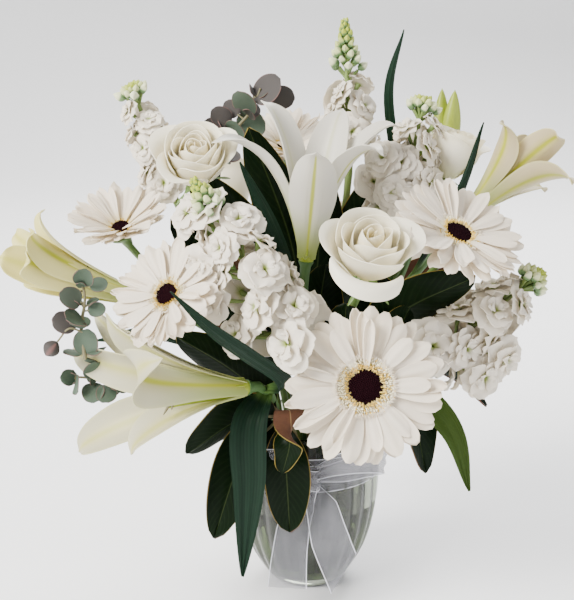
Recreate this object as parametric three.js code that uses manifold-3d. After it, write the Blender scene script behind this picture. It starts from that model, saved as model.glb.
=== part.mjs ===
// Floral table centrepiece: white gerberas, roses, lilies and stock with eucalyptus and magnolia
// foliage, standing in a round glass vase of water tied with a sheer ribbon.
// Millimetres. +Z is up, -Y is the front, and the origin is the centre of the vase's foot.
import * as THREE from 'three';
import { mergeVertices } from 'three/addons/utils/BufferGeometryUtils.js';
import Module from 'manifold-3d';

const wasm = await Module();
wasm.setup();
const { Manifold } = wasm;

// ---------------------------------------------------------------- driving dimensions

const GAP = 0.35; // clearance between pieces that touch
const SHEET = 0.9; // thickness of a petal or leaf

const VASE = {
  height: 124,
  footRadius: 25,
  widest: { radius: 52.5, height: 84 },
  rimRadius: 47.5,
  wall: 3,
  floor: 9,
  sides: 20,
};
const WATER_LEVEL = 64;
const RIBBON = { width: 25, bandTop: 112, thick: 0.9 };

// Every stem is straight from its cut end up to the neck, and the whole bunch is twisted a little.
const BUNCH = {
  cutHeight: 15,
  neckHeight: 118,
  pitch: 12,
  neckRadius: 38,
  footShare: 0.66,
  twist: THREE.MathUtils.degToRad(32),
};

const PALETTE = {
  glass: { color: 0xdfe8e2, roughness: 0.05, metalness: 0, transparent: true, opacity: 0.4 },
  water: { color: 0xc8d6c4, roughness: 0.05, metalness: 0, transparent: true, opacity: 0.4 },
  organza: { color: 0xd9d9e6, roughness: 0.6, metalness: 0 },
  gerberaWhite: { color: 0xf3efe6, roughness: 0.6, metalness: 0 },
  gerberaEye: { color: 0x2e1216, roughness: 0.8, metalness: 0 },
  roseIvory: { color: 0xf4efdc, roughness: 0.55, metalness: 0 },
  lilyCream: { color: 0xeeeccf, roughness: 0.5, metalness: 0 },
  stockWhite: { color: 0xf4f1ee, roughness: 0.6, metalness: 0 },
  stemGreen: { color: 0x6f9a4c, roughness: 0.55, metalness: 0 },
  stockGreen: { color: 0x8cae55, roughness: 0.6, metalness: 0 },
  lilyGreen: { color: 0x2f5a36, roughness: 0.5, metalness: 0 },
  eucalyptus: { color: 0x6c7f74, roughness: 0.7, metalness: 0 },
  magnolia: { color: 0x16281a, roughness: 0.3, metalness: 0 },
};

const vec = (x, y, z) => new THREE.Vector3(x, y, z);
const lerp = THREE.MathUtils.lerp;

// A small repeatable random number generator, so that petals vary but the part never does.
function randomFrom(seed) {
  let state = seed * 7919 + 17;
  return () => {
    state = (state * 16807) % 2147483647;
    return state / 2147483647;
  };
}

// ---------------------------------------------------------------- solids

function solidOf(geometry) {
  const bare = new THREE.BufferGeometry().setAttribute('position', geometry.getAttribute('position'));
  if (geometry.index) bare.setIndex(geometry.index);
  const merged = mergeVertices(bare, 1e-4);
  return new Manifold(
    new wasm.Mesh({
      numProp: 3,
      vertProperties: merged.attributes.position.array,
      triVerts: new Uint32Array(merged.index.array),
    }),
  );
}

function geometryOf(solid) {
  const mesh = solid.getMesh();
  const geometry = new THREE.BufferGeometry();
  const positions = new Float32Array(mesh.vertProperties);
  geometry.setAttribute('position', new THREE.BufferAttribute(positions, 3));
  geometry.setIndex(new THREE.BufferAttribute(new Uint32Array(mesh.triVerts), 1));
  const shaded = geometry.toNonIndexed();
  shaded.computeVertexNormals();
  return shaded;
}

function solidFrom(points, triangles) {
  const geometry = new THREE.BufferGeometry();
  const positions = new Float32Array(points.flatMap((p) => p.toArray()));
  geometry.setAttribute('position', new THREE.BufferAttribute(positions, 3));
  geometry.setIndex(triangles.flat());
  return solidOf(geometry);
}

// A frame at a point whose Z axis looks along `facing`, and whose Y axis is as near upright as it can be.
function frameOf(at, facing, turn = 0) {
  const z = facing.clone().normalize();
  const upright = Math.abs(z.z) > 0.95 ? vec(0, 1, 0) : vec(0, 0, 1);
  const x = upright.clone().cross(z).normalize();
  const y = z.clone().cross(x);
  const frame = new THREE.Matrix4().makeBasis(x, y, z).setPosition(at);
  return frame.multiply(new THREE.Matrix4().makeRotationZ(turn));
}

const placed = (solid, frame) => solid.transform(frame.elements);

// Gives a thin closed body to a sheet of triangles whose front faces look the same way. `grow` makes it
// larger all round, for cutting a clearance.
function thicken(points, faces, { thick = SHEET, grow = 0 }) {
  const normals = points.map(() => vec(0, 0, 0));
  const outward = points.map(() => vec(0, 0, 0));
  const directed = new Set();
  for (const [a, b, c] of faces) {
    const normal = points[b].clone().sub(points[a]).cross(points[c].clone().sub(points[a]));
    for (const i of [a, b, c]) normals[i].add(normal);
    directed.add(`${a} ${b}`).add(`${b} ${c}`).add(`${c} ${a}`);
  }
  normals.forEach((normal) => normal.normalize());
  const edges = faces.flatMap(([a, b, c]) => [[a, b], [b, c], [c, a]]);
  const rim = edges.filter(([a, b]) => !directed.has(`${b} ${a}`));
  for (const [a, b] of rim) {
    const away = points[b].clone().sub(points[a]).normalize().cross(normals[a]);
    outward[a].add(away);
    outward[b].add(away);
  }
  const count = points.length;
  const wide = points.map((p, i) => p.clone().addScaledVector(outward[i].normalize(), grow));
  const front = wide.map((p, i) => p.clone().addScaledVector(normals[i], thick / 2 + grow));
  const back = wide.map((p, i) => p.clone().addScaledVector(normals[i], -thick / 2 - grow));
  const triangles = faces.flatMap(([a, b, c]) => [[a, b, c], [count + a, count + c, count + b]]);
  for (const [a, b] of rim) triangles.push([b, a, count + a], [b, count + a, count + b]);
  return solidFrom([...front, ...back], triangles);
}

// A blade: middle(u, v) is its middle surface, with u from -1 to 1 across and v from 0 to 1 along.
function blade(middle, { along = 4, across = 2, ...body }) {
  const points = [];
  const faces = [];
  for (let i = 0; i <= along; i++) {
    for (let j = 0; j <= across; j++) points.push(middle((2 * j) / across - 1, i / along));
  }
  for (let i = 0; i < along; i++) {
    for (let j = 0; j < across; j++) {
      const a = i * (across + 1) + j;
      const d = a + across + 1;
      faces.push([a, a + 1, d + 1], [a, d + 1, d]);
    }
  }
  return thicken(points, faces, body);
}

// A ring of petals that share their roots in one sheet. place(k, u, v) is the middle surface of petal k.
function petalRing(place, { count, columns, rows, ...body }) {
  const centre = vec(0, 0, place(0, 0, 0).z);
  const points = [centre];
  const faces = [];
  const put = (p) => points.push(p) - 1;
  const roots = Array.from({ length: count }, (_, k) => put(place(k, -1, 0)));
  for (let k = 0; k < count; k++) {
    const across = Array.from({ length: columns + 1 }, (_, j) => (2 * j) / columns - 1);
    const inner = across.slice(1, -1).map((u) => put(place(k, u, 0)));
    let below = [roots[k], ...inner, roots[(k + 1) % count]];
    for (let j = 0; j < columns; j++) faces.push([0, below[j], below[j + 1]]);
    for (let i = 1; i <= rows; i++) {
      const here = across.map((u) => put(place(k, u, i / rows)));
      for (let j = 0; j < columns; j++) {
        faces.push([below[j], here[j], here[j + 1]], [below[j], here[j + 1], below[j + 1]]);
      }
      below = here;
    }
  }
  return thicken(points, faces, body);
}

// The point at this angle and distance from the Z axis, moved sideways round it, at height z.
function polar(angle, r, z, side = 0) {
  const [c, s] = [Math.cos(angle), Math.sin(angle)];
  return vec(r * c - side * s, r * s + side * c, z);
}

// A closed round rod through `points`, with a radius at each of them.
function rod(points, radii, sides, grow = 0) {
  const rings = [];
  let side = null;
  points.forEach((p, i) => {
    const ahead = (points[i + 1] ?? p).clone().sub(points[i - 1] ?? p).normalize();
    if (!side) side = Math.abs(ahead.x) < 0.9 ? vec(1, 0, 0) : vec(0, 1, 0);
    side = side.clone().addScaledVector(ahead, -side.dot(ahead)).normalize();
    const other = ahead.clone().cross(side);
    const centre = p.clone();
    if (i === 0) centre.addScaledVector(ahead, -grow);
    if (i === points.length - 1) centre.addScaledVector(ahead, grow);
    for (let k = 0; k < sides; k++) {
      const a = (2 * Math.PI * k) / sides;
      const spoke = side.clone().multiplyScalar(Math.cos(a)).addScaledVector(other, Math.sin(a));
      rings.push(centre.clone().addScaledVector(spoke, radii[i] + grow));
    }
  });
  const triangles = [];
  for (let i = 0; i < points.length - 1; i++) {
    for (let k = 0; k < sides; k++) {
      const [a, b] = [i * sides + k, i * sides + ((k + 1) % sides)];
      triangles.push([a, b, b + sides], [a, b + sides, a + sides]);
    }
  }
  const last = (points.length - 1) * sides;
  for (let k = 1; k < sides - 1; k++) {
    triangles.push([0, k + 1, k], [last, last + k, last + k + 1]);
  }
  return solidFrom(rings, triangles);
}

// A closed form made of rings of points about Z: rings[i][k] is [radius, height] at angle k, from the
// lowest pole to the highest.
function ringForm(lowest, rings, highest) {
  const count = rings[0].length;
  const points = [vec(0, 0, lowest)];
  rings.forEach((ring) =>
    ring.forEach(([r, z], k) => {
      points.push(polar((2 * Math.PI * k) / count, r, z));
    }),
  );
  points.push(vec(0, 0, highest));
  const triangles = [];
  const id = (i, k) => 1 + i * count + (k % count);
  for (let k = 0; k < count; k++) {
    triangles.push([0, id(0, k + 1), id(0, k)]);
    for (let i = 0; i < rings.length - 1; i++) {
      triangles.push([id(i, k), id(i, k + 1), id(i + 1, k + 1)], [id(i, k), id(i + 1, k + 1), id(i + 1, k)]);
    }
    triangles.push([id(rings.length - 1, k), id(rings.length - 1, k + 1), points.length - 1]);
  }
  return solidFrom(points, triangles);
}

// A bud: a plump closed form `long` high and `wide` across, standing on the origin.
function bud(long, wide, sides = 5, grow = 0) {
  const belly = wide / 2 + grow;
  const level = (share, height) => Array.from({ length: sides }, () => [belly * share, long * height]);
  return ringForm(-grow, [level(0.8, 0.25), level(1, 0.6)], long + grow);
}

// ---------------------------------------------------------------- vase, water and ribbon

function vaseRadius(z) {
  const { widest, footRadius, rimRadius, height } = VASE;
  if (z > widest.height) {
    const rise = (z - widest.height) / (height - widest.height);
    return widest.radius - (widest.radius - rimRadius) * rise * rise;
  }
  const flat = Math.sqrt(1 - (footRadius / widest.radius) ** 2);
  return widest.radius * Math.sqrt(1 - (((widest.height - z) / widest.height) * flat) ** 2);
}

function turned(profile) {
  const outline = profile.map(([r, z]) => new THREE.Vector2(r, z));
  return solidOf(new THREE.LatheGeometry(outline, VASE.sides).rotateX(Math.PI / 2));
}

// The heights of the rings that make the inside of the wall; the water stands at one of them.
const INSIDE = [15, 38, WATER_LEVEL, 94, 123];
const BASIN = 6; // how far the inside floor stops short of the wall

function vase() {
  const { wall, floor, height, footRadius } = VASE;
  const outer = [5, 29, 53, 78, 101, height].map((z) => [vaseRadius(z), z]);
  const inner = INSIDE.toReversed().map((z) => [vaseRadius(z) - wall, z]);
  const basin = [[vaseRadius(floor) - wall - BASIN, floor], [0, floor]];
  return turned([[0, 0], [footRadius, 0], ...outer, ...inner, ...basin]);
}

function water(grow = 0) {
  const { wall, floor } = VASE;
  const side = INSIDE.filter((z) => z <= WATER_LEVEL).map((z) => [vaseRadius(z) - wall - GAP + grow, z]);
  const low = floor + GAP;
  return turned([[0, low], [vaseRadius(floor) - wall - BASIN - GAP, low], ...side, [0, WATER_LEVEL]]);
}

// The ribbon lies round the vase under its rim, a little lower in front.
function ribbonBand(grow = 0) {
  const { width, bandTop, thick } = RIBBON;
  const clear = GAP + 0.6;
  const heights = [bandTop - width, bandTop];
  const outside = heights.map((z) => [vaseRadius(z) + clear + thick + grow, z]);
  const inside = heights.toReversed().map((z) => [vaseRadius(z) + clear - grow, z]);
  return turned([...outside, ...inside, outside[0]]);
}

// One length of ribbon that follows `path`, with its width along `widths`.
function ribbonLength(path, widths, grow, along = 5) {
  const curve = new THREE.CatmullRomCurve3(path);
  const middle = (u, v) => {
    const i = Math.min(Math.floor(v * (widths.length - 1)), widths.length - 2);
    const across = widths[i].clone().lerp(widths[i + 1], v * (widths.length - 1) - i);
    return curve.getPoint(v).addScaledVector(across, (u * RIBBON.width) / 2);
  };
  return blade(middle, { along, across: 1, thick: RIBBON.thick, grow });
}

const KNOT = vec(3, -61.5, 101);

// The knot, its two loops and its two tails, cut slanting at the ends.
function ribbonBow(grow = 0) {
  const end = vec(0, 0, 9);
  const knot = rod([KNOT.clone().sub(end), KNOT, KNOT.clone().add(end)], [5, 7.4, 5], 6, grow);
  const leftTail = ribbonLength(
    [KNOT.clone().add(vec(-1, -2, -6)), vec(-8, -64, 76), vec(-13, -65, 48), vec(-15, -64, 19)],
    [vec(0.35, -0.1, 0.1), vec(0.93, -0.1, 0.15), vec(1, 0, 0.05), vec(1.12, -0.1, -0.02)],
    grow,
  );
  const rightTail = ribbonLength(
    [KNOT.clone().add(vec(2, 1.5, -6)), vec(15, -66, 78), vec(18, -70, 54), vec(24, -68, 33)],
    [vec(0.3, 0.1, -0.1), vec(0.85, 0.1, 0.2), vec(1.05, 0, 0.35), vec(0.7, 0, 1.25)],
    grow,
  );
  const loop = (side) => {
    const path = [
      vec(3 - 3 * side, -64.5, 102),
      vec(3 - 25 * side, -71, 105),
      vec(3 - 41 * side, -70, 102),
      vec(3 - 47 * side, -65, 98.5),
      vec(3 - 41 * side, -60.5, 95),
      vec(3 - 25 * side, -59, 93),
      vec(3 - 3 * side, -58.8, 99),
    ];
    const widths = [0.5, 0.8, 0.9, 0.9, 0.9, 0.8, 0.5].map((share) => vec(0, 0, share));
    return ribbonLength(path, widths, grow, 8);
  };
  return Manifold.union([knot, leftTail, rightTail, loop(1), loop(-1)]);
}

// ---------------------------------------------------------------- stems

// A stem's head, its direction there, and the place where it passes the neck of the vase. The places in
// the neck start out under the heads, and are then pushed apart until no two stems touch.
const stems = new Map();

function addStem(name, head, facing, radius) {
  const lean = Math.atan2(Math.hypot(head.x, head.y), head.z - BUNCH.neckHeight);
  const out = BUNCH.neckRadius * Math.min(1, lean / THREE.MathUtils.degToRad(62));
  const round = Math.atan2(head.y, head.x);
  const neck = new THREE.Vector2(out * Math.cos(round), out * Math.sin(round));
  stems.set(name, { head, facing: facing.clone().normalize(), radius, neck });
}

function settleStems() {
  const all = [...stems.values()];
  for (let pass = 0; pass < 200; pass++) {
    for (const a of all) {
      for (const b of all) {
        const apart = a.neck.clone().sub(b.neck);
        const short = BUNCH.pitch - apart.length();
        if (a === b || short <= 0) continue;
        const push = apart.normalize().multiplyScalar(short / 4);
        a.neck.add(push);
        b.neck.sub(push);
      }
      a.neck.clampLength(0, BUNCH.neckRadius);
    }
  }
}

// The line of a stem from its cut end, through the neck, to the underside of its head.
function stemLine(name, bends = 3) {
  const { head, facing, neck } = stems.get(name);
  const foot = neck.clone().rotateAround(new THREE.Vector2(), BUNCH.twist).multiplyScalar(BUNCH.footShare);
  const cut = vec(foot.x, foot.y, BUNCH.cutHeight);
  const pass = vec(neck.x, neck.y, BUNCH.neckHeight);
  const rise = pass.clone().sub(cut).normalize();
  const span = head.distanceTo(pass);
  const curve = new THREE.CubicBezierCurve3(
    pass,
    pass.clone().addScaledVector(rise, span * 0.38),
    head.clone().addScaledVector(facing, -span * 0.32),
    head,
  );
  return [cut, ...curve.getPoints(bends)];
}

function stemRod(name, grow, { sides = 5, bends = 3, end = null } = {}) {
  const line = stemLine(name, bends);
  const { radius, facing } = stems.get(name);
  const radii = line.map(() => radius);
  if (!end) return rod(line, radii, sides, grow);
  const top = line.at(-1).clone();
  line.pop();
  radii.pop();
  end.forEach(([below, r]) => {
    line.push(top.clone().addScaledVector(facing, -below));
    radii.push(r);
  });
  return rod(line, radii, sides, grow);
}

// ---------------------------------------------------------------- gerberas

const GERBERA = { hub: 8, eyeRadius: 9.3 };

// `cup` is how far the rays rise, in degrees; `crown` adds a ring of short rays round the eye.
const gerberas = [
  {
    name: 'front',
    at: vec(35, -118, 188),
    facing: vec(0, -0.95, 0.31),
    radius: 53,
    rays: [15, 11],
    cup: 5,
    crown: true,
  },
  {
    name: 'right',
    at: vec(96, -70, 274),
    facing: vec(0.32, -0.46, 0.83),
    radius: 47,
    rays: [11, 8],
    cup: 14,
    crown: true,
  },
  {
    name: 'left',
    at: vec(-90, -92, 240),
    facing: vec(-0.45, -0.65, 0.61),
    radius: 43,
    rays: [11, 8],
    cup: 12,
    crown: true,
  },
  {
    name: 'upper_left',
    at: vec(-130, -16, 266),
    facing: vec(-0.42, -0.28, 0.86),
    radius: 41,
    rays: [11, 8],
    cup: 12,
  },
  { name: 'top', at: vec(-16, 54, 312), facing: vec(-0.05, -0.34, 0.94), radius: 37, rays: [9, 6], cup: 10 },
  { name: 'rear', at: vec(62, 104, 236), facing: vec(0.35, 0.82, 0.45), radius: 47, rays: [9, 7], cup: 8 },
];

// One ring of ray florets, each widest past its middle and blunt at the tip.
function rayRing({ count, root, reach, width, tip, lift, cup, bend, phase, rows, seed, grow }) {
  const random = randomFrom(seed);
  const slope = Math.tan(THREE.MathUtils.degToRad(cup));
  const step = (2 * Math.PI) / count;
  const rays = Array.from({ length: count }, () => ({
    lean: (random() - 0.5) * 0.03,
    long: reach * (0.93 + 0.07 * random()) - root,
    droop: bend * (0.6 + 0.8 * random()),
  }));
  const place = (k, u, v) => {
    if (v === 0) return polar(phase + step * (k + u / 2), root, lift);
    const { lean, long, droop } = rays[k];
    const run = v ** 0.55;
    const half = (width / 2) * (v < 1 ? 1 : tip);
    const height = lift + slope * long * run - droop * run * run;
    return polar(phase + step * k + lean, root + long * run, height, u * half);
  };
  return petalRing(place, { count, columns: 1, rows, grow });
}

// Two rings of long white rays, and on some a crown of short ones, joined by a hub under the eye.
const RAY_LIFTS = [SHEET / 2, SHEET / 2 + 2.4, SHEET / 2 + 4.2];

function gerberaRays({ radius, rays, cup, crown, name }, grow) {
  const root = GERBERA.hub;
  const [outer, inner] = rays;
  const long = { root, tip: 0.5, rows: 2 };
  const widths = [(radius * 3.95) / outer, (radius * 3.4) / inner];
  const rings = [
    { ...long, count: outer, reach: radius, width: widths[0], cup, bend: 3.6, phase: 0 },
    { ...long, count: inner, reach: radius * 0.86, width: widths[1], cup: cup + 2, bend: 1.6, phase: 0.2 },
  ];
  if (crown) {
    const short = { root: root + 2.6, reach: radius * 0.38, width: 8, tip: 0.4, rows: 1 };
    rings.push({ ...short, count: 8, cup: cup + 14, bend: 0.5, phase: 0 });
  }
  const hub = rod([vec(0, 0, 0.2), vec(0, 0, RAY_LIFTS[2])], [root - 1, root - 1], 4, grow);
  const seed = name.length;
  const sheets = rings.map((ring, k) => rayRing({ ...ring, lift: RAY_LIFTS[k], seed: seed + k, grow }));
  return Manifold.union([hub, ...sheets]);
}

// The dark eye: a low dome with a rough, pointed surface.
function gerberaEye(grow) {
  const count = 8;
  const r = GERBERA.eyeRadius + grow;
  const low = RAY_LIFTS[2] + SHEET / 2 + GAP + 0.1;
  const ring = (share, height, rough) =>
    Array.from({ length: count }, (_, k) => {
      const notch = (k % 2) * rough;
      return [r * share * (1 - notch), height + notch * 12];
    });
  const rings = [ring(1, low - grow, 0), ring(0.97, low + 2 + grow, 0.05), ring(0.6, low + 3.4 + grow, 0.1)];
  return ringForm(low - grow, rings, low + 2.9 + grow);
}

function gerberaStem(name, grow) {
  return stemRod(name, grow, { end: [[11, 2.6], [GAP + 0.1, 7.4]] });
}

// ---------------------------------------------------------------- roses

const roses = [
  {
    name: 'front',
    at: vec(36, -95, 262),
    facing: vec(0.12, -0.68, 0.72),
    radius: 31,
    high: 42,
    rings: [3, 4, 5],
  },
  {
    name: 'left',
    at: vec(-76, -34, 308),
    facing: vec(-0.02, -0.62, 0.78),
    radius: 28,
    high: 36,
    rings: [3, 5],
  },
  { name: 'right', at: vec(98, 15, 300), facing: vec(0.3, 0.0, 0.95), radius: 24, high: 36, rings: [3, 5] },
  { name: 'rear', at: vec(-58, 100, 258), facing: vec(-0.35, 0.75, 0.56), radius: 30, high: 36, rings: [5] },
];

// One ring of a rose's petals. They lean out and roll back at the lip, and one edge of each stands a
// little further out than the other, so that the petals lap over each other in turn.
function rosePetals({ count, rows, lift, root, radius, high, roll, phase, grow }) {
  const step = (2 * Math.PI) / count;
  const place = (k, u, v) => {
    if (v === 0) return polar(phase + step * (k + u / 2), root, lift);
    const swell = Math.sin(Math.min(1, v * 1.3) * Math.PI * 0.5);
    const past = Math.max(0, v - 0.6) / 0.4;
    const out = lerp(root, radius, swell) + roll * past ** 1.5 + u * 1.8 * swell;
    const angle = phase + step * (k + (u / 2) * (0.92 + 0.07 * v));
    return polar(angle, out, lift + (high - lift) * v * (1 - 0.12 * u * u) - roll * 0.35 * past * past);
  };
  return petalRing(place, { count, columns: count > 3 ? 2 : 3, rows, thick: 1, grow });
}

function roseBloom({ radius, high, rings }, grow) {
  const inside = rings.length - 1;
  const heart = 0.5 + 1.9 * rings.length;
  const lifted = new THREE.Matrix4().makeTranslation(0, 0, heart);
  const core = placed(bud(high - heart, radius * 0.68, 6, grow), lifted);
  const hub = rod([vec(0, 0, 0.2), vec(0, 0, heart + 3)], [2.4, 2.4], 5, grow);
  const petals = rings.map((count, ring) => {
    const share = (ring + 1) / rings.length;
    return rosePetals({
      count,
      rows: rings.length > 2 ? 3 : 2,
      lift: 0.5 + 1.9 * (inside - ring),
      root: 7.4 - 1.8 * (inside - ring),
      radius: radius * lerp(0.38, 0.84, share),
      high: high * lerp(1.04, 0.86, share),
      roll: radius * (share > 0.5 ? 0.26 * share : -0.08),
      phase: ring * 0.55,
      grow,
    });
  });
  return Manifold.union([hub, core, ...petals]);
}

// The rose's stem ends in its hip, with five sepals folded back under the petals.
function roseStem(name, grow) {
  const { head, facing } = stems.get(name);
  const frame = frameOf(head, facing);
  const sepals = Array.from({ length: 5 }, (_, k) => {
    const angle = (2 * Math.PI * k) / 5 + 0.3;
    return placed(rod([polar(angle, 3, -3), polar(angle, 21, -7)], [2.2, 0.6], 3, grow), frame);
  });
  return Manifold.union([stemRod(name, grow, { end: [[9, 2.6], [GAP + 0.1, 5.4]] }), ...sepals]);
}

// ---------------------------------------------------------------- lilies

// `open` says how far each of a bloom's six tepals flares, in turn round the trumpet.
const lilies = [
  {
    name: 'centre',
    at: vec(-2, -42, 253),
    facing: vec(0.1, 0.02, 1),
    turn: -1.62,
    long: 117,
    tube: 11,
    open: [0.42, 0.85, 0.9, 0.7, 0.5, 0.95],
  },
  {
    name: 'left',
    at: vec(-106, -40, 222),
    facing: vec(-0.9, -0.16, 0.34),
    turn: 0.4,
    long: 114,
    tube: 8,
    open: [0.3, 0.3, 0.26, 0.34, 0.28, 0.34],
  },
  {
    name: 'lower_left',
    at: vec(-42, -78, 174),
    facing: vec(-0.87, -0.46, 0.08),
    turn: 0.35,
    long: 131,
    tube: 11,
    open: [0.6, 0.42, 0.36, 0.4, 0.4, 0.44],
  },
  {
    name: 'right',
    at: vec(112, 4, 274),
    facing: vec(0.66, 0.0, 0.75),
    turn: 0.1,
    long: 94,
    tube: 9,
    open: [0.36, 0.4, 0.36, 0.44, 0.4, 0.44],
  },
];

// Three of a lily's six tepals: each runs up the trumpet, wrapped round it, and then flares.
function tepals({ long, tube, open, wide, root, lift, phase, grow }) {
  const place = (k, u, v) => {
    const azimuth = phase + (2 * Math.PI * k) / 3;
    if (v === 0) return polar(azimuth + (u * Math.PI) / 3, root, lift);
    const flare = long * 0.75 * open[k] * (Math.max(0, v - 0.26) / 0.74) ** 2.1;
    const r = root + tube * Math.min(1, v / 0.5) + flare;
    const round = r + flare * 0.8;
    const full = (wide / 2) * Math.sin(Math.PI * Math.min(0.965, 0.16 + v * 0.81)) ** 0.8;
    const turn = (u * Math.min(full, round * 0.6)) / round;
    const droop = 0.3 * open[k] * (Math.max(0, v - 0.5) / 0.5) ** 2;
    const height = lift + long * (v - droop);
    return polar(azimuth, r - round + round * Math.cos(turn), height, round * Math.sin(turn));
  };
  return petalRing(place, { count: 3, columns: 2, rows: 4, thick: 1.1, grow });
}

function lilyBloom({ long, tube, open }, grow) {
  const whorl = (odd) => open.filter((_, k) => k % 2 === odd);
  const shape = { long, tube, grow };
  const turn = Math.PI / 3;
  const inner = tepals({ ...shape, open: whorl(0), wide: long * 0.23, root: 3.4, lift: 3, phase: 0 });
  const outer = tepals({ ...shape, open: whorl(1), wide: long * 0.25, root: 5.4, lift: 0.55, phase: turn });
  const hub = rod([vec(0, 0, 0.3), vec(0, 0, 5)], [2.6, 2.6], 5, grow);
  const style = rod([vec(0, 0, 4), vec(1, 3, long * 0.78)], [1.3, 1.8], 4, grow);
  const filaments = Array.from({ length: 6 }, (_, k) => {
    const a = (Math.PI * k) / 3 + 0.5;
    return rod([polar(a, 1.6, 3.2), polar(a, 2.4 + tube * 0.6, long * 0.6)], [0.7, 1.1], 3, grow);
  });
  return Manifold.union([inner, outer, hub, style, ...filaments]);
}

// A long pointed leaf with its edges raised either side of the rib, along a curved line.
function longLeaf({ path, wide, across, grow, along = 3, blunt = 0.08 }) {
  const curve = new THREE.CatmullRomCurve3(path);
  const middle = (u, v) => {
    const half = (wide / 2) * Math.max(blunt, Math.sin(Math.PI * Math.min(0.985, 0.1 + 0.88 * v)) ** 0.8);
    const p = curve.getPoint(v);
    const ahead = curve.getTangent(v);
    const side = across.clone().addScaledVector(ahead, -across.dot(ahead)).normalize();
    const face = ahead.clone().cross(side);
    return p.addScaledVector(side, u * half).addScaledVector(face, u * u * half * 0.3);
  };
  return blade(middle, { along, across: 2, grow });
}

// The leaves that grow from each lily stem: `from` is the share of the stem above the neck, `path` is the
// rest of the leaf's line, and `across` lies along its width.
const lilyLeaves = {
  centre: [{ from: 0.7, wide: 11, across: vec(1, 0.3, 0.2), path: [vec(-24, -54, 276), vec(-46, -60, 324)] }],
  left: [{ from: 0.45, wide: 18, across: vec(0, 1, 0.3), path: [vec(-110, 4, 190), vec(-158, 18, 178)] }],
  lower_left: [
    {
      from: 0.7,
      wide: 25,
      across: vec(1, 0, 0.02),
      path: [vec(-40, -82, 150), vec(-41, -86, 104), vec(-46, -80, 36)],
    },
    {
      from: 0.75,
      wide: 15,
      across: vec(0.5, -0.5, 0.6),
      path: [vec(-20, -92, 186), vec(-50, -108, 218), vec(-84, -126, 243)],
    },
  ],
  right: [
    {
      from: 0.3,
      wide: 16,
      across: vec(0.8, -0.2, 0.5),
      path: [vec(78, -44, 158), vec(100, -60, 136), vec(112, -66, 94)],
    },
    { from: 0.65, wide: 9, across: vec(1, 0.4, -0.3), path: [vec(104, -24, 300), vec(122, -14, 350)] },
    { from: 0.5, wide: 20, across: vec(-0.2, 1, 0), path: [vec(112, 32, 214), vec(146, 44, 192)] },
    {
      from: 0.5,
      wide: 11,
      across: vec(1, -0.5, 0),
      path: [vec(64, 34, 296), vec(57, 24, 364), vec(67, 24, 404)],
    },
  ],
};

// The point that lies this share of the way from the neck of the vase to the head of a stem.
function pointOnStem(name, share) {
  const line = stemLine(name, 20).slice(1);
  return line[Math.round(share * (line.length - 1))];
}

// The green buds that stand above the right-hand lily, on a side branch of its stem.
function lilyBuds(name, grow) {
  const fork = pointOnStem(name, 0.5);
  const top = vec(101, 48, 302);
  const branch = rod([fork, vec(86, 44, 264), top], [2.4, 2.2, 3], 5, grow);
  const long = placed(bud(58, 15, 5, grow), frameOf(top.clone().add(vec(0.5, 0, -2)), vec(0.06, 0.04, 1)));
  const short = placed(bud(50, 11, 5, grow), frameOf(top.clone().add(vec(-2.5, 2, -3)), vec(-0.2, 0.12, 1)));
  return [branch, long, short];
}

function lilyStem(name, bloom, grow) {
  const leaves = lilyLeaves[bloom].map((leaf) =>
    longLeaf({ ...leaf, path: [pointOnStem(name, leaf.from), ...leaf.path], grow }),
  );
  const buds = bloom === 'right' ? lilyBuds(name, grow) : [];
  return Manifold.union([stemRod(name, grow, { end: [[9, 3.4], [GAP + 0.1, 5.4]] }), ...leaves, ...buds]);
}

// ---------------------------------------------------------------- stock

// The florets cover the share of the spike between `from` and `to`, standing out as far as `reach`.
const stocks = [
  {
    name: 'centre',
    low: vec(-15, -96, 222),
    top: vec(-65, -88, 318),
    florets: 10,
    size: 16.5,
    reach: 20,
    from: -0.12,
    to: 0.68,
    buds: 4,
  },
  {
    name: 'top',
    low: vec(30, 34, 330),
    top: vec(26, 38, 409),
    florets: 6,
    size: 13.5,
    reach: 12,
    from: -0.14,
    to: 0.4,
    buds: 5,
  },
  {
    name: 'upper_left',
    low: vec(-102, 20, 300),
    top: vec(-124, 18, 364),
    florets: 7,
    size: 13,
    reach: 13,
    from: -0.1,
    to: 0.7,
    buds: 4,
  },
  {
    name: 'upper_right',
    low: vec(67, -2, 281),
    top: vec(80, 5, 357),
    florets: 8,
    size: 13,
    reach: 13,
    from: -0.1,
    to: 0.7,
    buds: 4,
  },
  {
    name: 'lower_right',
    low: vec(88, -58, 192),
    top: vec(158, -48, 246),
    florets: 8,
    size: 16,
    reach: 16,
    from: -0.1,
    to: 0.72,
    buds: 4,
  },
];
const GOLDEN = Math.PI * (3 - Math.sqrt(5));

// Where each floret sits on its spike: its place, the way it faces and its size. Low down they stand all
// round; further up they stand to either side.
function floretPlaces({ name, low, top, florets, size, reach, from, to }) {
  const random = randomFrom(name.length * 3);
  const axis = top.clone().sub(low);
  const frame = frameOf(low, axis);
  return Array.from({ length: florets }, (_, k) => {
    const share = (k + 0.5) / florets;
    const height = axis.length() * lerp(from, to, share);
    const beside = (k % 2 ? 0.55 : -0.55) * Math.PI;
    const angle = share < 0.6 ? k * GOLDEN : beside + (random() - 0.5) * 0.8;
    const facing = vec(Math.cos(angle), Math.sin(angle), 0.3 + share * 0.5).normalize();
    const out = reach * lerp(1, 0.75, share);
    const place = vec(0, 0, height).addScaledVector(facing, out).applyMatrix4(frame);
    facing.transformDirection(frame);
    return { place, facing, radius: size * lerp(1.08, 0.8, share), depth: out - 4 };
  });
}

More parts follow.
